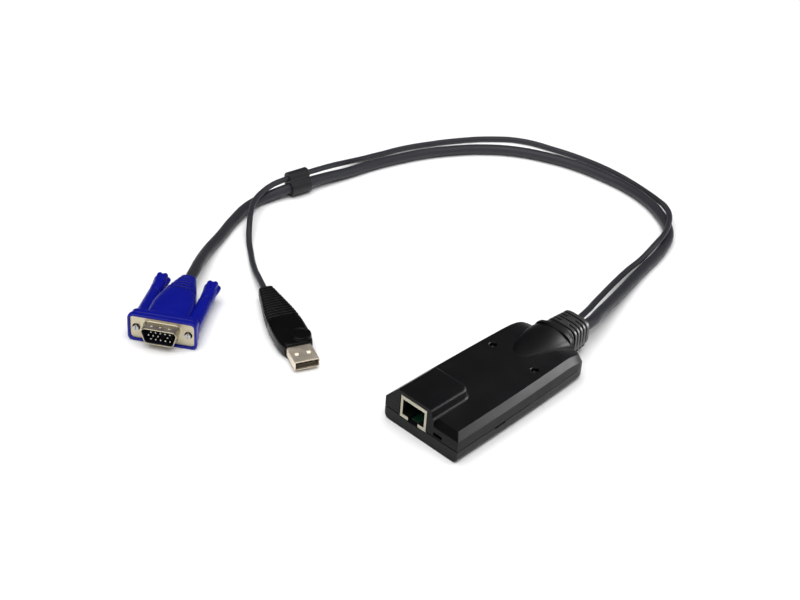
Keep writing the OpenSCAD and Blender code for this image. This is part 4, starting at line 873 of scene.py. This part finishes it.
plate = drawn("plate", let_out(PLATE_W, PLATE_H, PLATE_R), soft_ends(0, PLATE_T, 0.12, 3))
holes = [drawn("d_hole", d_outline, [(-D_WALL, -1), (-D_WALL, PLATE_T + 1)])]
holes += [bar("screw_hole", side * SCREW_X, 0, SCREW_ROOM, -1, PLATE_T + 1) for side in SIDES]
combine(plate, holes, "DIFFERENCE")
root = [(ROOT_R * (1 - sin(t)), -ROOT_R * (1 - cos(t))) for t in turns(0, 90, 6)]
lip = [(-LIP_R * (1 - cos(t)), -D_LENGTH + LIP_R - LIP_R * sin(t)) for t in turns(0, 180, 6)]
inner = [(-D_WALL, y) for y in (-D_LENGTH + 0.4, -0.6, 0.1)]
d_shell = drawn("d_shell", d_outline, [(0.9, 0.1)] + root + [(0, -3.0)] + lip + inner, closed=True)
dome = [(DIMPLE_R * cos(t), D_HEIGHT / 2 - 0.06 + 0.3 * sin(t)) for t in turns(0, 90, 5)[:-1]]
dome.append((0.02, D_HEIGHT / 2 + 0.25))
dimples = [skin("dimple", [at_height(circle(radius, 20, (x, DIMPLE_Y)), z) for radius, z in dome])
           for x in (-DIMPLE_STEP, 0, DIMPLE_STEP)]
combine(plate, [d_shell] + dimples, "UNION")
register(plate, "plate_metal", "vga_faceplate", 40, VIDEO)

# %% [markdown]
# ## Insert and pins
# A dark insert fills the D, lines it up to the lip and holds three rows of pins, with one place of
# the middle row left empty. The pins are one turned pin with a domed tip, copied onto points by the
# spine tree, and the same points cut the holes that they stand in.

# %% Insert and pins
PIN_R, PIN_PITCH, PIN_ROW, PIN_OUT, PIN_BACK = 0.5, 2.29, 1.98, 4.9, 11.4
INSERT_FACE, INSERT_BACK = 0.6, 8.4

pin_spots = [(PIN_PITCH * (i + (-0.25 if row == 0 else 0.25)), row * PIN_ROW)
             for row in (-1, 0, 1) for i in range(-2, 3) if row != 0 or i != 1]
lining = [(-0.1, INSERT_BACK), (-0.1, 0), (-0.1, -D_LENGTH + 0.6), (-0.2, -D_LENGTH + 0.5),
          (-0.3, -D_LENGTH + 0.6), (-0.3, -INSERT_FACE)]
insert = drawn("insert", lambda grow: d_outline(-D_WALL + grow), lining)
ways = [bar("pin_way", x, z, PIN_R + 0.06, -INSERT_FACE - 1, INSERT_BACK + 1, 20) for x, z in pin_spots]
combine(insert, ways, "DIFFERENCE")
tip = [(PIN_R * sin(t) + (0.01 if t == 0 else 0), -PIN_OUT + PIN_R * (1 - cos(t)))
       for t in turns(0, 90, 5)]
pin = turned("pin", tip + [(PIN_R, PIN_BACK)], 20)
pins = copies_at("pins", pin, at_depth(pin_spots, 0), "pin_metal")
register(insert, "insert_dark", "vga_insert", 35, VIDEO)
register(pins, "pin_metal", "vga_pins", 50, VIDEO)
print("pins:", len(pin_spots))

# %% [markdown]
# ## Thumbscrews
# Each knob is smooth where it meets its tunnel and lobed at the free end, where fingers turn it. The
# spine tree sets the lobes in a circle, and they are joined to a tapered core. The screw itself is a
# plain turned shank with a slotted tip, which the solid already has.

# %% Knobs and screws
KNOB_START, KNOB_L, KNOB_FRONT_R, KNOB_R, LOBES, LOBE_R = TUNNEL_L + 0.5, 13.0, 3.2, 4.1, 6, 1.45
knob_end = KNOB_START + KNOB_L


def make_knob(name):
    """One lobed knob round the y axis."""
    core = [(KNOB_FRONT_R + grow, KNOB_START + y) for grow, y in (
        (-0.55, -0.3), (-0.5, 0), (-0.15, 0.1), (0, 0.5), (0.22, 3.2), (0.24, 5.6))]
    core += [(KNOB_R - less, knob_end - y) for less, y in ((0.8, 2.2), (0.9, 0.7), (1.15, 0.25), (1.9, 0))]
    knob = turned(name, core, 64)
    lobe = [(radius, KNOB_START + y) for radius, y in ((0.12, 2.6), (0.5, 3.8), (0.85, 5.6), (1.2, 8.0))]
    lobe += [(LOBE_R - less, knob_end - y) for less, y in ((0, 1.6), (0.06, 0.75), (0.28, 0.3), (0.7, 0.05))]
    lobes = copies_at("lobes", turned("lobe", lobe, 28),
                      at_depth(circle(KNOB_R - LOBE_R, LOBES), 0), "knob_blue")
    combine(knob, [lobes], "UNION")
    return combine(knob, [bar("screw_bore", 0, 0, SCREW_WAY, KNOB_START - 1, knob_end - 2.7)], "DIFFERENCE")


for side, x in (("left", -SCREW_X), ("right", SCREW_X)):
    register(make_knob(f"{side}_thumb_knob"), "knob_blue", f"{side}_knob", 36,
             VIDEO @ Matrix.Translation((x * MM, 0, 0)), f"{side}_thumbscrew")
    register(copy_of_node(f"{side}_jackscrew", f"{side}_screw"), "screw_steel", f"{side}_jackscrew",
             35, body=f"{side}_thumbscrew")
print("knob end at", round(knob_end, 1), "mm behind the plate")

# %% [markdown]
# ## The grip of the bus plug
# The grip is a flat-topped moulding that bulges in the middle and narrows to the cable, where a row
# of ribs gives way to bending. A round pad with a dished face stands on top, off centre. Its sections
# are nearly rectangular superellipses.

# %% Grip
BUS_OUT, GRIP_L, GRIP_W, GRIP_H, GRIP_POWER = 11.8, 49.4, 8.6, 3.9, 4.5
GRIP = [[0, 0.79, 0.95], [0.05, 0.89, 1], [0.13, 0.975, 1], [0.24, 1, 1], [0.36, 0.99, 1],
        [0.5, 0.93, 0.99], [0.62, 0.83, 0.96], [0.74, 0.695, 0.92], [0.86, 0.56, 0.87],
        [0.96, 0.45, 0.82], [1, 0.375, 0.72]]
GRIP_BACK, GROOVES, GROOVE_FIRST = BUS_OUT + GRIP_L, 13, 34.0
PAD_X, PAD_Y, PAD_R, PAD_H = 2.9, 17.8, 4.7, 1.0
groove_step = (GRIP_BACK - GROOVE_FIRST - 1.0) / GROOVES


def grip_half(y):
    """Half width and half height of the grip at a depth."""
    return swell(GRIP, (y - BUS_OUT) / GRIP_L, (GRIP_W, GRIP_H))


stops = [(BUS_OUT, 0.35), (BUS_OUT + 0.12, 0.12), (BUS_OUT + 0.4, 0)]
stops += [(y, 0) for y in np.linspace(BUS_OUT + 0.9, GROOVE_FIRST - 0.4, 30)]
stops += [(y, 0.65) for y in np.linspace(GROOVE_FIRST, GRIP_BACK - 0.4, 20)]
grip = skin("grip", [section(grip_half, y, less, GRIP_POWER, 96) for y, less in stops])
rib_places = [GROOVE_FIRST + (k + 0.5) * groove_step + 0.5 for k in range(GROOVES)]
grip_ribs = row_of_ribs("grip_ribs", GRIP_POWER, ribs_on(grip_half, rib_places, groove_step / 2 - 0.42),
                        "grip_black")
pad_profile = [(PAD_R + 0.45, GRIP_H - 0.6), (PAD_R + 0.4, GRIP_H + 0.05), (PAD_R + 0.25, GRIP_H + 0.35)]
pad_profile += [(PAD_R + grow, GRIP_H + PAD_H - low) for grow, low in (
    (0.05, 0.15), (-0.15, 0.02), (-0.4, 0), (-0.8, 0.03), (-1.1, 0.16), (-1.5, 0.3), (-2.6, 0.36),
    (-4.65, 0.38))]
pad = skin("pad", [at_height(circle(radius, 64, (PAD_X, PAD_Y)), z) for radius, z in pad_profile])
combine(grip, [grip_ribs, pad], "UNION")
combine(grip, [drawn("shell_pocket", let_out(12.2, 4.7, 0.7), [(0, BUS_OUT - 1), (0, 18.9)]),
               bar("cable_way", 0, 0, BUS_R + CABLE_FIT, GRIP_BACK - 8, GRIP_BACK + 1)], "DIFFERENCE")
register(grip, "grip_black", "usb_grip", 36, BUS)
# Faces on the rib crests get the lighter black: a painted highlight along the ribs.
second_finish(grip, "grip_rib_painted_highlight", lambda x, y, z: y > GROOVE_FIRST
              and outside(grip_half(y), 0.3, x, z, GRIP_POWER), BUS)

# %% [markdown]
# ## Shell, tongue and contacts of the bus plug
# The shell is one strip of sheet metal folded into a box, so its corners are round, its mouth has a
# lip turned in, a seam runs along the middle of the top, and two windows take the springs of the
# socket. It is skinned outside and inside in one go, then cut.

# %% Shell of the bus plug
SHELL_W, SHELL_H, SHELL_WALL, SHELL_BACK = 12.0, 4.5, 0.35, 18.8
WINDOW_X, WINDOW_Y, WINDOW = 2.9, 6.0, 2.2
TAB_HIGH, TAB_LOW, TAB_T, TONGUE_DARK = (7.3, SHELL_H / 2 - 0.1), (5.0, 0.75), 0.3, 3.2


def shell_outline(grow):
    """Outline of the folded shell let out by grow."""
    return rounded_rectangle(SHELL_W + 2 * grow, SHELL_H + 2 * grow, max(0.18, 0.6 + grow), 6)


shell_profile = [(-0.27, 0), (-0.16, 0.03), (-0.06, 0.12), (-0.01, 0.28), (0, 0.5), (0, 6), (0, 12)]
shell_profile += [(0, SHELL_BACK), (-SHELL_WALL, SHELL_BACK), (-SHELL_WALL, 9), (-SHELL_WALL, 0.9)]
shell_profile += [(-0.4, 0.45), (-0.4, 0.12), (-0.34, 0.02)]
bus_shell = drawn("bus_shell", shell_outline, shell_profile, closed=True)
window = rounded_rectangle(WINDOW, WINDOW, 0.15, 4)
punches = [prism("window", [(side * WINDOW_X + x, WINDOW_Y + y) for x, y in window], -SHELL_H, SHELL_H)
           for side in SIDES]
seam = [(-0.07, -1), (0.07, -1), (0.07, 20), (-0.07, 20)]
punches.append(prism("seam", seam, SHELL_H / 2 - 0.16, SHELL_H / 2 + 1))
combine(bus_shell, punches, "DIFFERENCE")
tab = ((-1, 0), (1, 0), (1, TAB_T), (-1, TAB_T))
tabs = [skin("tab", [[(side * WINDOW_X + x, y, z - down) for x, down in tab] for y, z in (TAB_LOW, TAB_HIGH)])
        for side in SIDES]
combine(bus_shell, tabs, "UNION")
register(bus_shell, "bus_shell_metal", "usb_shell", 34, BUS)

# %% Contacts and tongue of the bus plug
contacts = copy_of_node("usb_contacts", "bus_contacts")
register(contacts, "contact_gold", "usb_contacts", SHELL_ANGLE)
tongue = copy_of_node("usb_insert", "bus_insert")
slice_mesh(tongue.data, BUS @ Vector((0, TONGUE_DARK * MM, 0)), BUS.to_3x3() @ Vector((0, 1, 0)))
register(tongue, "tongue_white", "usb_insert", SHELL_ANGLE)
# The tongue's front, up to TONGUE_DARK, gets the dark brown: painted shade inside the shell's mouth.
second_finish(tongue, "tongue_painted_mouth_shade", lambda x, y, z: y < TONGUE_DARK, BUS)

# %% [markdown]
# ## Collar
# The collar is one short moulding with a bore for each cable, drawn in between them. The solid has
# the bores, so a merged copy is used, and its end edges are rounded with a bevel.

# %% Collar
collar = copy_of_node("cable_collar", "collar")
bpy.context.view_layer.update()
modify(collar, "DECIMATE", decimate_type="DISSOLVE", angle_limit=radians(2))
modify(collar, "BEVEL", width=0.45 * MM, segments=3, limit_method="ANGLE", angle_limit=radians(50))
register(collar, "collar_grey", "cable_collar", 40)

# %% [markdown]
# ## Cables
# A cable is a fixed length of something that bends, so it is a curve with a round bevel. The points
# are the route of the solids, in millimetres: straight out of the boot, down to the surface, round
# the long arc, through the collar and into the plug. The thin cable climbs over the thick one twice.

# %% Cables as curves
VIDEO_ROUTE = [
    (2.6, 27.4, 10), (2.6, 53.2, 10), (2.4, 62.2, 10), (0, 71.2, 8.8), (-3.5, 84.2, 6.7), (-7.5, 99.2, 4.8),
    (-11.1, 113.2, 3.6), (-14.3, 127.2, 2.9), (-16.6, 139.2, 2.8), (-19.6, 150.2, 2.8), (-23.8, 159.6, 2.8),
    (-30.4, 167.2, 2.8), (-39.4, 173.2, 2.8), (-51.4, 178.4, 2.8), (-67.4, 181.4, 2.8), (-85.4, 180.8, 2.8),
    (-102.4, 178, 2.8), (-118.4, 172.2, 2.8), (-133.4, 163.8, 2.8), (-146.4, 151.8, 2.8),
    (-156.9, 137.2, 2.8), (-164.9, 122.2, 2.8), (-170.4, 107.2, 2.8), (-174.8, 91.2, 2.8),
    (-177.4, 75.2, 3.3), (-179.7, 63.4, 4.2), (-181.1, 55.8, 4.6), (-184.4, 37.8, 4.6), (-186.3, 29.2, 3.7),
    (-187.7, 21.2, 2.8), (-186.5, 11.2, 2.8), (-181.8, -1.8, 2.8), (-175.2, -16.2, 2.9),
    (-167.6, -31.4, 4.6), (-159.6, -43.8, 6.8), (-155.8, -49.2, 7.5), (-151.1, -56.6, 7.5),
    (-145.7, -64.9, 7.5)]
BUS_ROUTE = [
    (-2.6, 27.4, 10), (-2.6, 53.2, 10), (-4.6, 67.2, 9.7), (-7.4, 77.2, 8.6), (-11.4, 90.2, 6.4),
    (-15.4, 104.6, 4.4), (-18, 117.6, 3.7), (-19, 130.2, 4.4), (-20.2, 142.2, 7), (-23.2, 154.6, 7.2),
    (-27.4, 163.6, 7.2), (-32.6, 171.2, 7), (-40, 177.8, 5.8), (-49, 183.6, 3.2), (-62.6, 188.4, 1.5),
    (-80.6, 190.2, 1.5), (-99.6, 189, 1.5), (-120.6, 184.2, 1.5), (-140.6, 176.4, 1.5), (-152.6, 165.2, 1.5),
    (-162.6, 150.8, 1.5), (-171, 134.8, 1.5), (-177.8, 118.2, 1.5), (-181, 106.2, 1.5), (-183.2, 92.2, 2.6),
    (-183, 80.2, 5.2), (-181.8, 67.2, 8.6), (-183.2, 54.3, 9.6), (-186.4, 36.6, 9.6), (-187.4, 29.2, 8.8),
    (-186.6, 22, 7.8), (-184.4, 15.8, 7.3), (-181.8, 11.6, 7.3), (-176.7, 5.5, 6.8), (-170, -1.4, 5.2),
    (-162.6, -8.1, 2.3), (-157.4, -11.9, 1.5), (-144.7, -20.9, 2), (-132.6, -27.8, 3.7), (-124.1, -32, 3.9),
    (-116.9, -35.2, 3.9)]


def make_cable(name, node, route, radius):
    """Round cable along points in millimetres, in place of a solid one."""
    curve = bpy.data.curves.new(name, "CURVE")
    curve.dimensions, curve.bevel_depth, curve.bevel_resolution = "3D", radius * MM, 6
    curve.resolution_u, curve.use_fill_caps = 10, True
    spline = curve.splines.new("BEZIER")
    spline.bezier_points.add(len(route) - 1)
    for point, place in zip(spline.bezier_points, route):
        point.co = Vector(place) * MM
        point.handle_left_type = point.handle_right_type = "AUTO"
    cable = new_object(name, curve)
    register(cable, "cable_jacket", node)
    print(name, round(sum(dist(a, b) for a, b in zip(route, route[1:]))), "mm along its points")
    return cable


video_cable = make_cable("video_cable", "vga_cable", VIDEO_ROUTE, VIDEO_R)
bus_cable = make_cable("bus_cable", "usb_cable", BUS_ROUTE, BUS_R)

# %% [markdown]
# ## Floor and light
# The object lies on a plain white table. A low broad light behind and to the right runs along the
# sloping shoulder and the fairing, and a broad one overhead fills the blue plug. Lights that would
# wash out the table, the cables or the black panel are kept off them, as a flag on a stand does, and
# one light is for the table alone. The sky stays dim so that the panel keeps its depth.

# %% Floor, lights and sky
FLOOR_HALF, FLOOR_BELOW = 2500, 0.00005
corners = [(x * FLOOR_HALF, y * FLOOR_HALF, 0) for x, y in ((-1, -1), (1, -1), (1, 1), (-1, 1))]
floor = move_mesh(mesh_from("floor", corners, [(0, 1, 2, 3)]), Matrix.Translation((0, 0, -FLOOR_BELOW)))
floor_white = LOOKS["floor_white"] = bpy.data.materials.new("floor_white")
floor_white.use_nodes = True
for label, value in {"Base Color": (0.8, 0.8, 0.8, 1), "Roughness": 0.9, "Specular IOR Level": 0.1}.items():
    floor_white.node_tree.nodes["Principled BSDF"].inputs[label].default_value = value
dress(floor, "floor_white")


def soft_light(name, place, target, size, watts, state=None, pieces=(), spread=180):
    """Area light turned to a target, with some pieces shut out or lit alone. All in metres."""
    data = bpy.data.lights.new(name, "AREA")
    data.shape, data.energy, data.spread = "RECTANGLE", watts, radians(spread)
    data.size, data.size_y = size
    light = new_object(name, data)
    light.location = place
    light.rotation_euler = (Vector(target) - Vector(place)).to_track_quat("-Z", "Y").to_euler()
    if pieces:
        flagged = bpy.data.collections.new(name + "_flag")
        for piece in pieces:
            flagged.objects.link(piece)
        for item in flagged.collection_objects:
            item.light_linking.link_state = state
        light.light_linking.receiver_collection = flagged


middle = Vector((-0.07, 0.03, 0))
soft_light("right_rear", middle + Vector((0.75, 0.75, 0.55)), middle, (0.36, 0.36), 2.3, "EXCLUDE", [floor])
soft_light("low_right", (0.21, 0.29, 0.11), (0.005, 0.08, 0.012), (0.16, 0.22), 0.7, "INCLUDE",
           [case_top, case_bottom, boot], 90)
soft_light("rear", (0.07, 0.52, 0.38), (0.01, 0.085, 0.015), (0.3, 0.3), 4.6, "INCLUDE", [case_top])
soft_light("backdrop", middle + Vector((0.15, 0.25, 1.7)), middle + Vector((0.15, 0.25, 0)), (2.4, 2.4), 32,
           "INCLUDE", [floor])
soft_light("overhead", middle + Vector((0.15, -0.35, 1.5)), middle, (1.9, 1.9), 25)
soft_light("front", middle + Vector((0.1, -1.2, 0.75)), middle, (0.8, 0.5), 2)
world = bpy.context.scene.world = bpy.data.worlds.new("sky")
world.use_nodes = True
world.node_tree.nodes["Background"].inputs["Color"].default_value = (0.95, 0.97, 1.0, 1)
world.node_tree.nodes["Background"].inputs["Strength"].default_value = 0.06
bpy.context.scene.view_settings.view_transform = "Standard"
print("lights:", len(bpy.data.lights))
